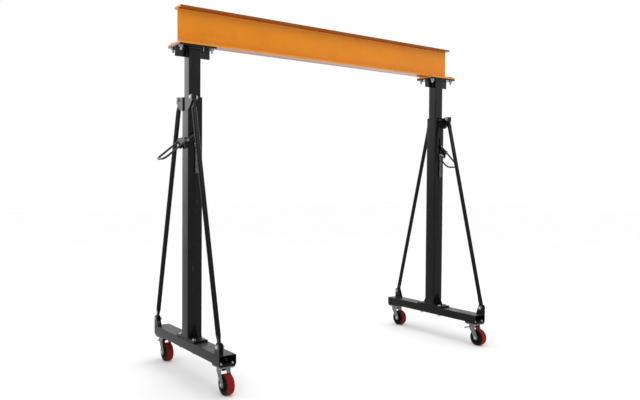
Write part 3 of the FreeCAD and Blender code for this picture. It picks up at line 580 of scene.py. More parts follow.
def quarter(steps):
    """Angles over a quarter turn, both ends included."""
    return np.linspace(0, math.pi / 2, steps)


def frame_at(direction):
    """Three unit vectors: across, across, and along a direction, right-handed."""
    along = np.asarray(direction, float) / np.linalg.norm(direction)
    first = np.cross(along, AXES[np.argmin(np.abs(along))])
    first /= np.linalg.norm(first)
    return first, np.cross(along, first), along


def revolved(centre, direction, radii, heights, steps=40):
    """Rows of circles about a direction: radius and height along it, per row or per point."""
    across, up, along = frame_at(direction)
    angle = circle_of(steps)
    radii = np.broadcast_to(np.asarray(radii, float).reshape(len(radii), -1),
                            (len(radii), steps))
    heights = np.broadcast_to(np.asarray(heights, float).reshape(len(heights), -1),
                              (len(heights), steps))
    ring = np.cos(angle)[:, None] * across + np.sin(angle)[:, None] * up
    return centre + radii[..., None] * ring + heights[..., None] * along


# -------- fasteners
def read_bolt(points, axis):
    """A CAD bolt's centre line, the way to its head, and its parts along that way.

    Heights are counted towards the head, so they are the axis or its opposite.
    """
    centre = sum(extent(points)) / 2
    centre[axis] = 0
    away = np.delete(points - centre, axis, axis=1)
    radius = np.hypot(away[:, 0], away[:, 1])
    along = points[:, axis]
    ends = [radius[np.abs(along - stop) < 1e-5].max() for stop in (along.min(), along.max())]
    shank = min(ends)
    way = 1 if ends[1] > ends[0] else -1
    along = along * way
    levels = np.unique(np.round(along[radius > 1.3 * shank], 5))
    head, rest = levels[-2:], levels[:-2]
    nut = (rest[0], rest[-1] if len(rest) > 1 else head[0]) if len(rest) else None
    return centre, way, shank, max(ends), along.min(), head, nut


def hexagon(centre, axis, low, high, corner, chamfer_low, chamfer_high):
    """A hexagon prism cut by a cone at its ends.

    The radius is the flat's distance over the cosine of the angle from the flat's middle,
    and no more than a cone that closes in towards each chamfered end.
    """
    steps, sector = 48, math.pi / 3
    flat = corner * math.cos(sector / 2)
    prism = flat / np.cos((circle_of(steps) + sector / 2) % sector - sector / 2)
    cone, face, rise, open_end = 0.14 * corner, 0.92, 0.2, 2.0
    slope = np.array([0, 0.35, 0.7])
    inward, limit = cone * slope, face + rise * slope
    below, above = (3 if chamfer else 1 for chamfer in (chamfer_low, chamfer_high))
    levels = np.concatenate([[low], low + inward[:below], (high - inward[:above])[::-1], [high]])
    limits = np.concatenate([[0], limit[:below] if chamfer_low else [open_end],
                             limit[:above][::-1] if chamfer_high else [open_end], [0]])
    radii = np.minimum(prism, corner * limits[:, None])
    return revolved(centre, AXES[axis], radii, levels, steps)


def threaded(centre, axis, low, high, radius, thread_from, thread_to, pitch):
    """A shank whose radius falls and rises along a helix between two places.

    The depth is a triangle wave of height over pitch less the share of the turn, and both
    ends taper.
    """
    steps = 20
    turn = circle_of(steps) / (2 * math.pi)
    tip, depth, narrowest = 0.25 * radius, 0.09 * radius, 0.78
    levels = np.unique(np.concatenate([
        [low, low + tip, thread_from, thread_to, high - tip, high],
        np.arange(thread_from, thread_to, pitch / 4)]))
    levels = levels[(levels >= low) & (levels <= high)]
    wave = np.abs(((levels[:, None] / pitch - turn) % 1) * 2 - 1)
    cut = np.where(((levels >= thread_from) & (levels <= thread_to))[:, None], depth * wave, 0.0)
    end = np.minimum(levels - low, high - levels)[:, None]
    taper = np.clip(narrowest + (1 - narrowest) * end / tip, None, 1.0)
    pole = np.zeros((1, steps))
    return revolved(centre, AXES[axis], np.concatenate([pole, (radius - cut) * taper, pole]),
                    np.concatenate([[low], levels, [high]]), steps)


def washer(centre, axis, low, high, inner, outer):
    """A flat ring with slightly rounded rims."""
    soft = (high - low) * 0.25
    radii = [inner, inner, outer - soft, outer, outer, outer - soft, inner]
    heights = [low, high, high, high - soft, low + soft, low, low]
    return revolved(centre, AXES[axis], radii, heights, 32)


def bolt_sheets(points, axis, washers):
    """The grids of one bolt: head, washers, nut and a shank threaded at its free end."""
    detail = bpy.context.scene.crane_detail
    thick = detail.washer_thickness if washers else 0.0
    centre, way, shank, corner, tip, (seat, top), nut = read_bolt(points, axis)

    def span(first, last):
        """Two heights as places on the axis, the lower one first."""
        return sorted((way * first, way * last))

    run = min(seat - tip, 5.0 * shank)
    sheets = [hexagon(centre, axis, *span(seat + thick, top), corner, way < 0, way > 0),
              threaded(centre, axis, *span(tip, seat), shank, *span(tip, tip + run),
                       detail.thread_pitch)]
    rings = [span(seat, seat + thick)]
    if nut:
        rings.append(span(nut[1] - thick, nut[1]))
        sheets.append(hexagon(centre, axis, *span(nut[0], nut[1] - thick), corner, True, True))
    if washers:
        sheets += [washer(centre, axis, *ring, shank * 0.98, corner * 1.12) for ring in rings]
    return sheets


def bolt_axis(points):
    """The axis that a bolt lies along: the one in which its two other sides are equal."""
    size = np.ptp(points, axis=0)
    gaps = [abs(size[(axis + 1) % 3] - size[(axis + 2) % 3]) for axis in range(3)]
    return int(np.argmax(size)) if size.max() > 1.4 * np.sort(size)[1] else int(np.argmin(gaps))


def make_bolts(node, washers=True):
    """All the bolts of a CAD node as one piece."""
    sheets = []
    for points in solids(node):
        sheets += bolt_sheets(points, bolt_axis(points), washers)
    stand_in(node, sheets, "bright_zinc")


# -------- swept shapes
def swept(path, normal, radius, steps=14, closed=False):
    """A round bar along a flat path, with domed ends unless the path is closed.

    Each row is a circle in the plane across the path: its centre is a path point, one
    radius points along the path's normal and the other across both. At an end, centres
    go in by the radius times 1 - cos and radii grow with sin over a quarter turn.
    """
    path = np.asarray(path, float)
    if closed:
        ahead = np.roll(path, -1, axis=0) - np.roll(path, 1, axis=0)
        radii = np.full(len(path), radius)
    else:
        ahead = np.diff(path, axis=0, append=path[-1:] + path[-1:] - path[-2:-1])
        unit = ahead / np.linalg.norm(ahead, axis=1, keepdims=True)
        dome = quarter(6)
        inward = (radius * (1 - np.cos(dome)))[:, None]
        path = np.concatenate([path[0] + inward * unit[0], path[1:-1],
                               path[-1] - inward[::-1] * unit[-1]])
        ahead = np.concatenate([np.repeat(unit[:1], 6, axis=0), unit[1:-1] + unit[:-2],
                                np.repeat(unit[-1:], 6, axis=0)])
        radii = np.concatenate([radius * np.sin(dome), np.full(len(path) - 12, radius),
                                radius * np.sin(dome[::-1])])
    along = ahead / np.linalg.norm(ahead, axis=1, keepdims=True)
    normal = np.asarray(normal, float)
    side = np.cross(along, normal)
    angle = circle_of(steps)
    ring = np.cos(angle)[:, None] * normal + np.sin(angle)[:, None] * side[:, None]
    rows = path[:, None] + radii[:, None, None] * ring
    return np.concatenate([rows, rows[:1]]) if closed else rows


def bead(start, end, first, second, leg, phase=0.0):
    """A rippled fillet weld from start to end, in the corner of two directions.

    Across, it is the corner and a quarter circle from one leg to the other. Along, the
    circle swells at each ripple by a rectified sine of distance less a crescent that
    depends on the angle, and shrinks to a point at both ends.
    """
    start, end, first, second = (np.asarray(vector, float)
                                 for vector in (start, end, first, second))
    length = np.linalg.norm(end - start)
    ripple = bpy.context.scene.crane_detail.weld_ripple
    swell, sway, lag, overlap, rows_per_ripple = 0.14, 0.05, 0.45, 0.0004, 3.2
    place = np.linspace(0, length, max(int(length / ripple * rows_per_ripple), 6))
    turn = quarter(6)
    crescent = lag * np.sin(2 * turn)
    beat = np.abs(np.sin(math.pi * (place[:, None] / ripple - crescent + phase)))
    slow = sway * np.sin(place / length * 19.0 + phase * 7.0)[:, None]
    near_end = np.minimum(place, length - place)[:, None] / leg
    size = leg * (1 - swell + swell * beat + slow) * np.sqrt(np.clip(near_end, 0, 1))
    centre = start + place[:, None] / length * (end - start)
    arc = np.cos(turn)[:, None] * first + np.sin(turn)[:, None] * second
    root = centre[:, None] - overlap * (first + second)
    return np.concatenate([root, centre[:, None] + size[..., None] * arc], axis=1)


def box_beads(low, high, height, rise, leg):
    """Welds round an upright block, where its four sides meet the plane at a height."""
    corners = [(low[0], low[1]), (high[0], low[1]), (high[0], high[1]), (low[0], high[1])]
    outs = [(0, -1), (1, 0), (0, 1), (-1, 0)]
    return [bead((*corners[i], height), (*corners[(i + 1) % 4], height), (*outs[i], 0),
                 (0, 0, rise), leg, i) for i in range(4)]


def flank_beads(low, high, start, end, second, leg, phase=0.0):
    """A weld on the left and on the right side of a block, between two (y, z) places."""
    return [bead((x, *start), (x, *end), (face, 0, 0), second, leg, x + phase)
            for face, x in ((-1, low[0]), (1, high[0]))]


def rooted(low, high, middle):
    """Which way along y a block stands out from a column, and where its root and toe are."""
    if abs(high[1] - middle[1]) > abs(low[1] - middle[1]):
        return 1, low[1], high[1]
    return -1, high[1], low[1]


# -------- pieces
class CRANE_OT_beam(Operator):
    """Round and paint the beam, its end plates and the head plates under them"""
    bl_idname = "crane.beam"
    bl_label = "Beam and heads"

    def execute(self, context):
        softened("beam", "beam_paint")
        softened("beam_plates", "beam_paint")
        for side in SIDES:
            softened(side + "_head_plate", "frame_paint")
        return {"FINISHED"}


class CRANE_OT_columns(Operator):
    """Round and paint the telescoping columns, with a bright ledge for the chain"""
    bl_idname = "crane.columns"
    bl_label = "Columns"

    def execute(self, context):
        for side in SIDES:
            softened(side + "_inner_column", "sliding_paint")
            outer = softened(side + "_outer_column", "frame_paint")
            self.brighten_ledge(outer, side)
        return {"FINISHED"}

    def brighten_ledge(self, outer, side):
        """Plates the faces that stand out from the column below the lock pin."""
        outer.data.materials.append(material("bright_zinc"))
        centres = np.empty(len(outer.data.polygons) * 3)
        outer.data.polygons.foreach_get("center", centres)
        y, z = centres.reshape(-1, 3)[:, 1:].T
        plate_low, plate_high = corner_box(side + "_foot_plate")
        half = (plate_high[0] - plate_low[0]) / 2
        face = (plate_low[1] + plate_high[1]) / 2 - half
        proud, below = 0.0005, 0.05
        ledge = (y < face - proud) & (z < corner_box(side + "_lock_pin")[0][2] - below)
        outer.data.polygons.foreach_set("material_index", ledge.astype(np.int32))


class CRANE_OT_bases(Operator):
    """Round and paint the base tubes with their foot plates, gussets, lugs and brackets"""
    bl_idname = "crane.bases"
    bl_label = "Bases and brackets"

    def execute(self, context):
        for side in SIDES:
            for part in ("base_tube", "foot_plate", "foot_gussets", "strut_lugs",
                         "strut_ears", "lever_bracket"):
                softened(f"{side}_{part}", "frame_paint")
        return {"FINISHED"}


class CRANE_OT_struts(Operator):
    """Make the raking struts: round tubes pressed flat at both ends"""
    bl_idname = "crane.struts"
    bl_label = "Struts"

    def execute(self, context):
        for side in SIDES:
            bolts = [(low + high) / 2 for low, high in blocks(side + "_strut_bolts")]
            middle = sum(bolt[1] for bolt in bolts) / len(bolts)
            for end in ENDS:
                node = f"{side}_{end}_strut"
                foot, head = sorted(
                    (bolt for bolt in bolts if (bolt[1] > middle) == (end == "far")),
                    key=lambda bolt: bolt[2])
                foot[0] = head[0] = sum(corner_box(node))[0] / 2
                stand_in(node, [self.strut(foot, head, context.scene.crane_strut)], "frame_paint")
        return {"FINISHED"}

    def strut(self, foot, head, size):
        """A tube between two bolts, closed round each bolt.

        Along the strut the cross-section is a superellipse: its half-sides and its power
        blend by a smooth step from a circle to a flat oval, whose width follows a half
        circle beyond each bolt.
        """
        wide, thick, radius = size.flat_width / 2, size.flat_thickness / 2, size.diameter / 2
        span = np.linalg.norm(head - foot)
        along = (head - foot) / span
        side = np.cross(AXES[0], along)
        fan = wide * (1 - np.cos(quarter(9)))
        neck = wide + size.flat_length + np.linspace(0, size.neck_length, 14)
        inside = np.concatenate([fan, neck, neck[::-1], fan[::-1]])
        place = np.concatenate([fan, neck, (span + 2 * wide - neck)[::-1],
                                (span + 2 * wide - fan)[::-1]]) - wide
        blend = np.clip((inside - neck[0]) / size.neck_length, 0, 1)
        blend = blend * blend * (3 - 2 * blend)
        closing = np.sqrt(np.clip(1 - (1 - np.clip(inside / wide, 0, 1)) ** 2, 0, 1))
        half_u = thick * np.clip(closing * 4, 0, 1) * (1 - blend) + radius * blend
        half_v = wide * closing * (1 - blend) + radius * blend
        flat, circle = 7.0, 2.0
        power = (flat * (1 - blend) + circle * blend)[:, None]
        angle = circle_of(32)
        cosine, sine = np.cos(angle), np.sin(angle)
        u = np.sign(cosine) * np.abs(cosine) ** (2 / power) * half_u[:, None]
        v = np.sign(sine) * np.abs(sine) ** (2 / power) * half_v[:, None]
        return foot + place[:, None, None] * along + u[..., None] * AXES[0] + v[..., None] * side


class CRANE_OT_bolts(Operator):
    """Make the bolts with chamfered heads, washers, nuts and threaded ends"""
    bl_idname = "crane.bolts"
    bl_label = "Bolts"

    def execute(self, context):
        make_bolts("head_bolts")
        for side in SIDES:
            for group in ("foot", "strut", "caster"):
                make_bolts(f"{side}_{group}_bolts")
            make_bolts(side + "_column_bolts", washers=False)
            for end in ENDS:
                make_bolts(f"{side}_{end}_axle")
        return {"FINISHED"}


class CRANE_OT_welds(Operator):
    """Lay the weld beads where plates, lugs and gussets meet tubes"""
    bl_idname = "crane.welds"
    bl_label = "Welds"

    short = 0.002           # a bead stops this far before an edge
    wing_half = 0.004       # half the thickness of a head plate's wings
    wing_tip = 0.012        # length of a wing's end that has no bead
    pad = 0.008             # thickness of the pads under a base tube

    def execute(self, context):
        leg = context.scene.crane_detail.weld_size
        beam_low, beam_high = corner_box("beam")
        sheets = []
        for low, high in blocks("beam_plates"):
            start, end = max(low[0], beam_low[0]) + leg, min(high[0], beam_high[0]) - leg
            for y, out in ((beam_low[1], -1), (beam_high[1], 1)):
                sheets.append(bead((start, y, high[2]), (end, y, high[2]),
                                   (0, out, 0), (0, 0, 1), leg, y))
        make_piece("beam_welds", sheets, "beam_paint", "beam")
        for side in SIDES:
            self.head_welds(side, leg)
            self.leg_welds(side, leg)
        return {"FINISHED"}

    def head_welds(self, side, leg):
        """Beads round the top of the inner column and down both faces of its wings."""
        tube_low, tube_high = corner_box(side + "_inner_column")
        plate_low, plate_high = corner_box(side + "_head_plate")
        top, middle = tube_high[2], (tube_low[1] + tube_high[1]) / 2
        sheets = box_beads(tube_low, tube_high, top, -1, leg)
        for out, x, far in ((-1, tube_low[0], plate_low[0]), (1, tube_high[0], plate_high[0])):
            for face in (-1, 1):
                y = middle + face * self.wing_half
                for end, second, phase in (
                        ((far - out * self.wing_tip, y, top), (0, 0, -1), x),
                        ((x, y, plate_low[2] + 0.003), (out, 0, 0), far)):
                    sheets.append(bead((x, y, top), end, (0, face, 0), second, leg, phase))
        make_piece(side + "_head_welds", sheets, "frame_paint", "beam")

    def leg_welds(self, side, leg):
        """Beads that join one leg: the column to its plate, and what stands on them."""
        short, ear_top, bracket_foot, corner = self.short, 0.010, 0.012, 0.008
        foot_low, foot_high = corner_box(side + "_foot_plate")
        middle, half = (foot_low + foot_high) / 2, (foot_high[0] - foot_low[0]) / 2
        sheets = box_beads(middle - half, middle + half, foot_high[2], 1, leg)
        for low, high in blocks(side + "_foot_gussets"):
            out, root, toe = rooted(low, high, middle)
            sheets += flank_beads(low, high, (root, low[2]), (toe - out * short, low[2]),
                                  (0, 0, 1), leg)
            sheets += flank_beads(low, high, (root, low[2]), (root, high[2] - short),
                                  (0, out, 0), leg, 1)
        for low, high in blocks(side + "_strut_lugs"):
            beads = flank_beads(low, high, (low[1] + short, low[2]), (high[1] - short, low[2]),
                                (0, 0, 1), leg)
            sheets += [one for one, x in zip(beads, (low[0] - leg, high[0] + leg))
                       if abs(x - middle[0]) < half + corner]
        for low, high in blocks(side + "_strut_ears"):
            out, root, _ = rooted(low, high, middle)
            start, end = (root, low[2] + short), (root, high[2] - ear_top)
            if abs(root - middle[1]) > half - 0.001:
                sheets += flank_beads(low, high, start, end, (0, out, 0), leg)
            else:
                x = low[0] if low[0] > middle[0] else high[0]
                sheets.append(bead((x, *start), (x, *end), (0, -out, 0),
                                   (np.sign(x - middle[0]), 0, 0), leg, root))
        low, high = corner_box(side + "_lever_bracket")
        out = -1 if side == "left" else 1
        for end in (-1, 1):
            x, y = middle[0] + out * half, middle[1] + end * (half - corner)
            sheets.append(bead((x, y, low[2] + bracket_foot), (x, y, high[2] - short),
                               (0, -end, 0), (out, 0, 0), leg, end))
        pad_top = corner_box(side + "_base_tube")[0][2] + self.pad
        for low, high in blocks(side + "_caster_plates"):
            sheets += box_beads(low, high, pad_top, -1, leg * 0.8)
        make_piece(side + "_welds", sheets, "frame_paint", side + "_leg")


class CRANE_OT_levers(Operator):
    """Make the U-shaped jacking levers of bent round bar with forged eyes"""
    bl_idname = "crane.levers"
    bl_label = "Levers"

    def execute(self, context):
        size = context.scene.crane_lever
        bar, tail_eye, near_tip = size.bar / 2, size.tail_eye / 2, 0.0005
        for side in SIDES:
            node = side + "_lift_lever"
            pivot = pivot_of(node)
            points = node_arrays(node)[0] - pivot
            away = np.hypot(points[:, 0], points[:, 2])
            tip = points[away > away.max() - near_tip].mean(axis=0)
            along = np.array([tip[0], 0, tip[2]]) / np.hypot(tip[0], tip[2])
            half = points[:, 1].max() - bar
            arm, tail = away.max() - bar, -(points @ along).min() - tail_eye
            sheets = [self.bow(pivot, along, half, arm, tail, size.bend, bar)]
            for end in (-1, 1):
                for place, eye in ((0.0, size.pivot_eye / 2), (-tail, tail_eye)):
                    centre = pivot + place * along + end * half * AXES[1]
                    sheets.append(self.eye(centre, eye, bar))
            stand_in(node, sheets, "lever_paint")
            heads = [self.rivet(pivot - tail * along + end * (half + bar) * AXES[1], end,
                                size.rivet / 2) for end in (-1, 1)]
            make_piece(node + "_rivets", heads, "bright_zinc", BODY_OF[node])
        return {"FINISHED"}

    def rivet(self, seat, out, radius):
        """A snap head: a dome half as high as its radius, which stands out from its seat."""
        turn = quarter(7)
        radii = np.concatenate([[0], radius * np.cos(turn)])
        rise = np.concatenate([[0], radius / 2 * np.sin(turn)])
        return revolved(seat, out * AXES[1], radii, rise, 24)

    def bow(self, pivot, along, half, arm, tail, bend, bar):
        """A round bar out along one side, across in two quarter bends and back."""
        turn = quarter(12)[1:]
        out = np.concatenate([[-tail, arm - bend], arm - bend + bend * np.sin(turn)])
        wide = np.concatenate([[half, half], half - bend + bend * np.cos(turn)])
        out = np.concatenate([out, out[::-1]])
        wide = np.concatenate([wide, -wide[::-1]])
        path = pivot + out[:, None] * along + wide[:, None] * AXES[1]
        return swept(path, np.cross(AXES[1], along), bar, 18)

    def eye(self, centre, radius, bar):
        """A forged eye: a turned disc whose rim rounds into its flat faces."""
        soft = bar * 0.35
        turn = quarter(6)
        rim = radius - soft + soft * np.sin(turn)
        rise = -bar + soft - soft * np.cos(turn)
        radii = np.concatenate([[0], rim, rim[::-1], [0]])
        heights = np.concatenate([[-bar], rise, -rise[::-1], [bar]])
        return revolved(centre, AXES[1], radii, heights, 36)


class CRANE_OT_locks(Operator):
    """Make the lock pins with their cross bars, and the chains that keep them"""
    bl_idname = "crane.locks"
    bl_label = "Lock pins and chains"

    def execute(self, context):
        for side in SIDES:
            self.lock_pin(side + "_lock_pin")
            self.chain(side + "_chain")
        return {"FINISHED"}

    def lock_pin(self, node):
        """A shaft turned to a chamfered point, with a tilted round bar through its back end."""
        points, _ = node_arrays(node)
        back, front = points[:, 1].min(), points[:, 1].max()
        tip_low, tip_high = extent(points[points[:, 1] > front - 1e-5])
        centre = (tip_low + tip_high) / 2
        centre[1] = 0
        radius, soft = (tip_high[0] - tip_low[0]) / 2, 0.001
        chamfer, bar_place, near_end = radius * 0.45, 0.004, 0.0012
        radii = [0, radius - soft, radius, radius, radius - chamfer, 0]
        places = [back, back, back + soft, front - chamfer, front, front]
        away = points - centre
        reach = np.hypot(away[:, 0], away[:, 2])
        end = away[(reach > reach.max() - near_end) & (away[:, 0] > 0)].mean(axis=0)
        direction = np.array([end[0], 0, end[2]]) / np.hypot(end[0], end[2])
        bar = bpy.context.scene.crane_lever.cross_bar / 2
        reach = reach.max() * math.cos(math.asin(bar / reach.max()))
        ends = np.array([-1, -0.6, 0, 0.6, 1]) * reach
        path = centre + (back + bar_place) * AXES[1] + ends[:, None] * direction
        stand_in(node, [revolved(centre, AXES[1], radii, places, 32),
                        swept(path, AXES[1], bar, 20)], "bright_zinc")

    def chain(self, node):
        """A ring and a row of links, each a round bar along a stadium."""
        sheets = []
        for low, high in blocks(node):
            size = high - low
            thin, long = int(np.argmin(size)), int(np.argmax(size))
            wide = 3 - thin - long
            wire = size[thin] / 2
            bend = size[wide] / 2 - wire
            straight = size[long] / 2 - wire - bend
            if straight < wire / 4:
                turn = circle_of(32)
                across, along = bend * np.cos(turn), bend * np.sin(turn)
            else:
                turn = np.linspace(0, math.pi, 9)
                across = np.concatenate([bend * np.cos(turn), -bend * np.cos(turn)])
                along = straight + bend * np.sin(turn)
                along = np.concatenate([along, -along])
            path = (low + high) / 2 + across[:, None] * AXES[wide] + along[:, None] * AXES[long]
            sheets.append(swept(path, AXES[thin], wire, 10, closed=True))
        stand_in(node, sheets, "chain_zinc")


class CRANE_OT_casters(Operator):
    """Make the wheels and tyres, and plate the forks, top plates and brake pedals"""
    bl_idname = "crane.casters"
    bl_label = "Casters"

    def execute(self, context):
        size = context.scene.crane_caster
        for side in SIDES:
            softened(side + "_caster_plates", "zinc")
            for end in ENDS:
                label = f"{side}_{end}"
                softened(label + "_fork", "zinc")
                self.wheel(label + "_wheel", size)
                self.tyre(label + "_tyre", label + "_wheel", size)
            for low, high in blocks(side + "_caster_plates"):
                end = "near" if low[1] < 0 else "far"
                self.race(f"{side}_{end}", side + "_leg", low, high, size)
        for label in ("left_far", "right_near"):
            self.pedal(label + "_brake_pedal", size)
        return {"FINISHED"}

    def wheel(self, node, size):
        """A cast core: hub, dished face with ribs, and rim.

        The face's depth at a radius and angle is a dish plus a smooth bump at each rib.
        """
        low, high = corner_box(node)
        _, rim, out = ((high - low) / 2)[[1, 0, 2]]
        steps = size.ribs * 12
        rib = np.clip(np.cos(circle_of(steps) * size.ribs) * 2.2 - 1.0, 0, 1)
        rib = rib * rib * (3 - 2 * rib)
        hub, lip, dish = size.hub / 2, out - 0.009, 0.008
        rows = np.array([  # radius, depth of the face, height of a rib on it
            (size.bore / 2, rim, 0), (hub - 0.0015, rim, 0), (hub, rim - 0.0015, 0),
            (hub + 0.002, 0.014, 0.010), (hub + 0.006, dish, 0.012), (lip - 0.006, dish, 0.011),
            (lip - 0.001, 0.019, 0.004), (out - 0.0075, 0.0243, 0), (out - 0.001, 0.0246, 0),
            (out, 0.0238, 0)])
        radius = np.repeat(rows[:, :1], steps, axis=1)
        depth = rows[:, 1:2] + rows[:, 2:] * rib
        radii = np.concatenate([radius[:1], radius, radius[::-1], radius[:1]])
        heights = np.concatenate([0 * depth[:1], depth, -depth[::-1], 0 * depth[:1]])
        sheet = revolved((low + high) / 2, AXES[0], radii, heights, steps)
        stand_in(node, [sheet], "wheel_core", sharp=48)

    def tyre(self, node, wheel, size):
        """A moulded tyre: a closed ring with rounded shoulders and a fine parting line.

        The tread's radius falls with the square of the distance from the middle, and a
        narrow bell curve stands up at the middle.
        """
        low, high = corner_box(node)
        _, rim, out = ((high - low) / 2)[[1, 0, 2]]
        inner = np.ptp(corner_box(wheel), axis=0)[2] / 2
        shoulder, soft, line, line_width, drop = size.shoulder, 0.0008, 0.0003, 0.0006, 0.0007
        turn = quarter(8)
        crown = np.linspace(-(rim - shoulder), rim - shoulder, 15)
        sag = drop * (crown / rim) ** 2
        corner = out - shoulder - sag[0] + shoulder * np.sin(turn)
        edge = rim - shoulder + shoulder * np.cos(turn)
        tread = out - line - sag + line * np.exp(-(crown / line_width) ** 2)
        radii = np.concatenate([[inner, inner + soft], corner, tread, corner[::-1],
                                [inner + soft, inner, inner]])
        heights = np.concatenate([[-rim + soft, -rim], -edge, crown, edge[::-1],
                                  [rim, rim - soft, -rim + soft]])
        sheet = revolved((low + high) / 2, AXES[0], radii, heights, 96)
        stand_in(node, [sheet], "tread", sharp=50)

    def race(self, label, body, low, high, size):
        """The rolled lip of the ball race under a top plate, and the cap under its king pin."""
        centre = (low + high) / 2
        centre[2] = 0
        plate, throat, overlap, lip = 0.006, 0.030, 0.0002, size.race_lip
        top, cap = high[2] - plate, size.cap / 2
        turn = np.linspace(-math.pi / 2, math.pi / 2, 9)
        radii = np.concatenate([[throat], size.race / 2 - lip + lip * np.cos(turn), [throat] * 2])
        heights = np.concatenate([[-lip], lip * np.sin(turn), [lip, -lip]]) + top - lip
        sheet = revolved(centre, AXES[2], radii, heights, 64)
        make_piece(label + "_race", [sheet], "zinc", body, sharp=50)
        radii = np.concatenate([[0, cap], cap * np.cos(quarter(8))])
        heights = np.concatenate([[overlap] * 2, -size.cap_drop * np.sin(quarter(8))]) + low[2]
        sheet = revolved(centre, AXES[2], radii, heights, 40)
        make_piece(label + "_king_cap", [sheet], "wheel_core", body, sharp=50)

    def pedal(self, node, size):
        """The pressed pedal, with pinched ridges across its tread for the shoe."""
        softened(node, "zinc")
        slope = size.pedal_slope
        along = np.array([0, math.cos(slope), -math.sin(slope)])
        up = np.array([0, math.sin(slope), math.cos(slope)])
        margin, stand, thick = 0.006, 0.0024, 0.0016
        half = np.ptp(corner_box(node), axis=0)[0] / 2 - margin
        sheets = []
        for place in np.linspace(0.024, 0.058, 5):
            middle = pivot_of(node) + place * along + stand * up
            path = middle + np.linspace(-half, half, 5)[:, None] * AXES[0]
            sheets.append(swept(path, up, thick, 10))
        make_piece(node + "_ridges", sheets, "zinc", BODY_OF[node])


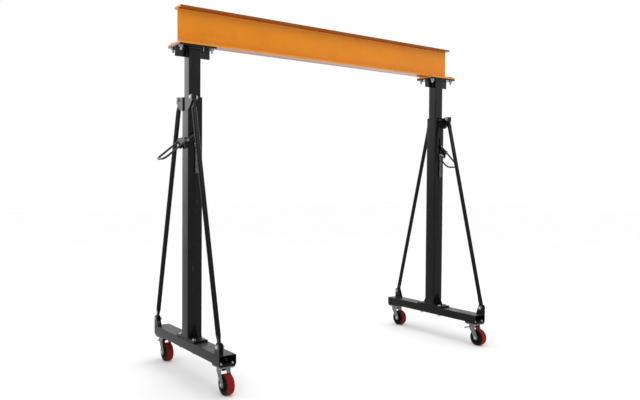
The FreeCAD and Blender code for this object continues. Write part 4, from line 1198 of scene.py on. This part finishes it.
class CRANE_OT_stage(Operator):
    """Set the floor, the lights and the camera"""
    bl_idname = "crane.stage"
    bl_label = "Stage"

    def execute(self, context):
        look = context.scene.crane_stage
        across, gap = 9, 0.0002
        grid = np.linspace(-look.floor / 2, look.floor / 2, across)
        x, y = np.meshgrid(grid, grid, indexing="ij")
        points = np.stack([x, y, np.full_like(x, CAD_BOX[0][2] - gap)], axis=-1)
        mesh = bpy.data.meshes.new("floor")
        faces = grid_faces(across, across, False, 0).tolist()
        mesh.from_pydata(points.reshape(-1, 3), [], faces)
        mesh.materials.append(material("floor"))
        floor = bpy.data.objects.new("floor", mesh)
        context.scene.collection.objects.link(floor)
        self.surround(context, look)
        self.lamp("Overhead", "AREA", (0.8, 1.4, 5.2), (-0.8, -1.4, -4.0), shape="RECTANGLE",
                  size=3.6, size_y=3.6, energy=look.key_power, spread=math.pi)
        self.lamp("Tall side", "AREA", (-5.0, 9.4, 2.2), (5.0, -9.4, -1.0), shape="RECTANGLE",
                  size=2.4, size_y=5.0, energy=look.side_power, spread=math.radians(70))
        self.lamp("Wide sky", "SUN", (0, 0, 0), (0.35, 0.75, -1), energy=look.sky,
                  angle=look.sky_width)
        self.camera(context, look)
        context.scene.view_settings.view_transform = "Standard"
        return {"FINISHED"}

    def lamp(self, name, kind, place, aim, **settings):
        """A light at a place, which shines along a direction."""
        light = bpy.data.lights.new(name, kind)
        for key, value in settings.items():
            setattr(light, key, value)
        lamp = bpy.data.objects.new(name, light)
        lamp.location = place
        lamp.rotation_euler = Vector(aim).to_track_quat("-Z", "Y").to_euler()
        bpy.context.scene.collection.objects.link(lamp)

    def surround(self, context, look):
        """A white surround whose light dims smoothly from the far side to the near side.

        Seen directly it is white all round, a plain backdrop for every side of the crane.
        """
        world = bpy.data.worlds.new("Studio")
        world.use_nodes = True
        board = Board(world.node_tree)
        facing = board.out("ShaderNodeVectorMath", {"operation": "DOT_PRODUCT"}, {
            0: board.out("ShaderNodeTexCoord", output="Generated"),
            1: (math.sin(look.heading), math.cos(look.heading), 0)}, output="Value")
        dimmest, brightest = -0.9, 0.35
        far = board.ramp(facing, dimmest, brightest)
        light = look.near_surround + far * (look.surround - look.near_surround)
        seen = board.out("ShaderNodeLightPath", output="Is Camera Ray")
        backdrop = board.out("ShaderNodeBackground", inputs={
            "Color": (1, 1, 1, 1), "Strength": seen * look.surround + (1 - seen) * light})
        board.add("ShaderNodeOutputWorld", inputs={"Surface": backdrop})
        context.scene.world = world

    def camera(self, context, look):
        """A camera turned by its heading, pitch and roll, in that order."""
        yaw, pitch, roll = look.heading, look.pitch, look.roll
        level = Vector((math.sin(yaw), math.cos(yaw), 0))
        right = Vector((math.cos(yaw), -math.sin(yaw), 0))
        up = Vector((0, 0, 1))
        ahead = level * math.cos(pitch) + up * math.sin(pitch)
        above = up * math.cos(pitch) - level * math.sin(pitch)
        tilted = right * math.cos(roll) + above * math.sin(roll)
        above = above * math.cos(roll) - right * math.sin(roll)
        eye = bpy.data.cameras.new("Camera")
        eye.lens = look.lens
        eye.sensor_width = 36
        camera = bpy.data.objects.new("Camera", eye)
        turn = Matrix((tilted, above, -ahead)).transposed()
        camera.matrix_world = Matrix.Translation(look.place) @ turn.to_4x4()
        context.scene.collection.objects.link(camera)
        context.scene.camera = camera


# -------- add-on
OPERATORS = (CRANE_OT_stage, CRANE_OT_beam, CRANE_OT_columns, CRANE_OT_bases, CRANE_OT_struts,
             CRANE_OT_bolts, CRANE_OT_welds, CRANE_OT_levers, CRANE_OT_locks, CRANE_OT_casters)
SETTINGS = {"crane_finish": CraneFinish, "crane_detail": CraneDetail, "crane_strut": StrutSize,
            "crane_lever": LeverSize, "crane_caster": CasterSize, "crane_stage": StageSize}


class CRANE_PT_panel(Panel):
    """The crane's pieces in the order that they are made"""
    bl_idname = "CRANE_PT_panel"
    bl_label = "Gantry crane"
    bl_space_type = "VIEW_3D"
    bl_region_type = "UI"
    bl_category = "Crane"

    def draw(self, context):
        for operator in OPERATORS:
            self.layout.operator(operator.bl_idname)
        for name, group in SETTINGS.items():
            box = self.layout.box()
            settings = getattr(context.scene, name)
            for key in group.__annotations__:
                box.prop(settings, key)


def register():
    """Adds the settings, the operators and the panel."""
    for name, group in SETTINGS.items():
        bpy.utils.register_class(group)
        setattr(bpy.types.Scene, name, PointerProperty(type=group))
    for operator in OPERATORS:
        bpy.utils.register_class(operator)
    bpy.utils.register_class(CRANE_PT_panel)


def unregister():
    """Takes away what register added."""
    bpy.utils.unregister_class(CRANE_PT_panel)
    for operator in reversed(OPERATORS):
        bpy.utils.unregister_class(operator)
    for name, group in reversed(SETTINGS.items()):
        delattr(bpy.types.Scene, name)
        bpy.utils.unregister_class(group)


def main():
    """Runs every operator."""
    register()
    for operator in OPERATORS:
        section, name = operator.bl_idname.split(".")
        getattr(getattr(bpy.ops, section), name)()


if __name__ == "__main__":
    main()
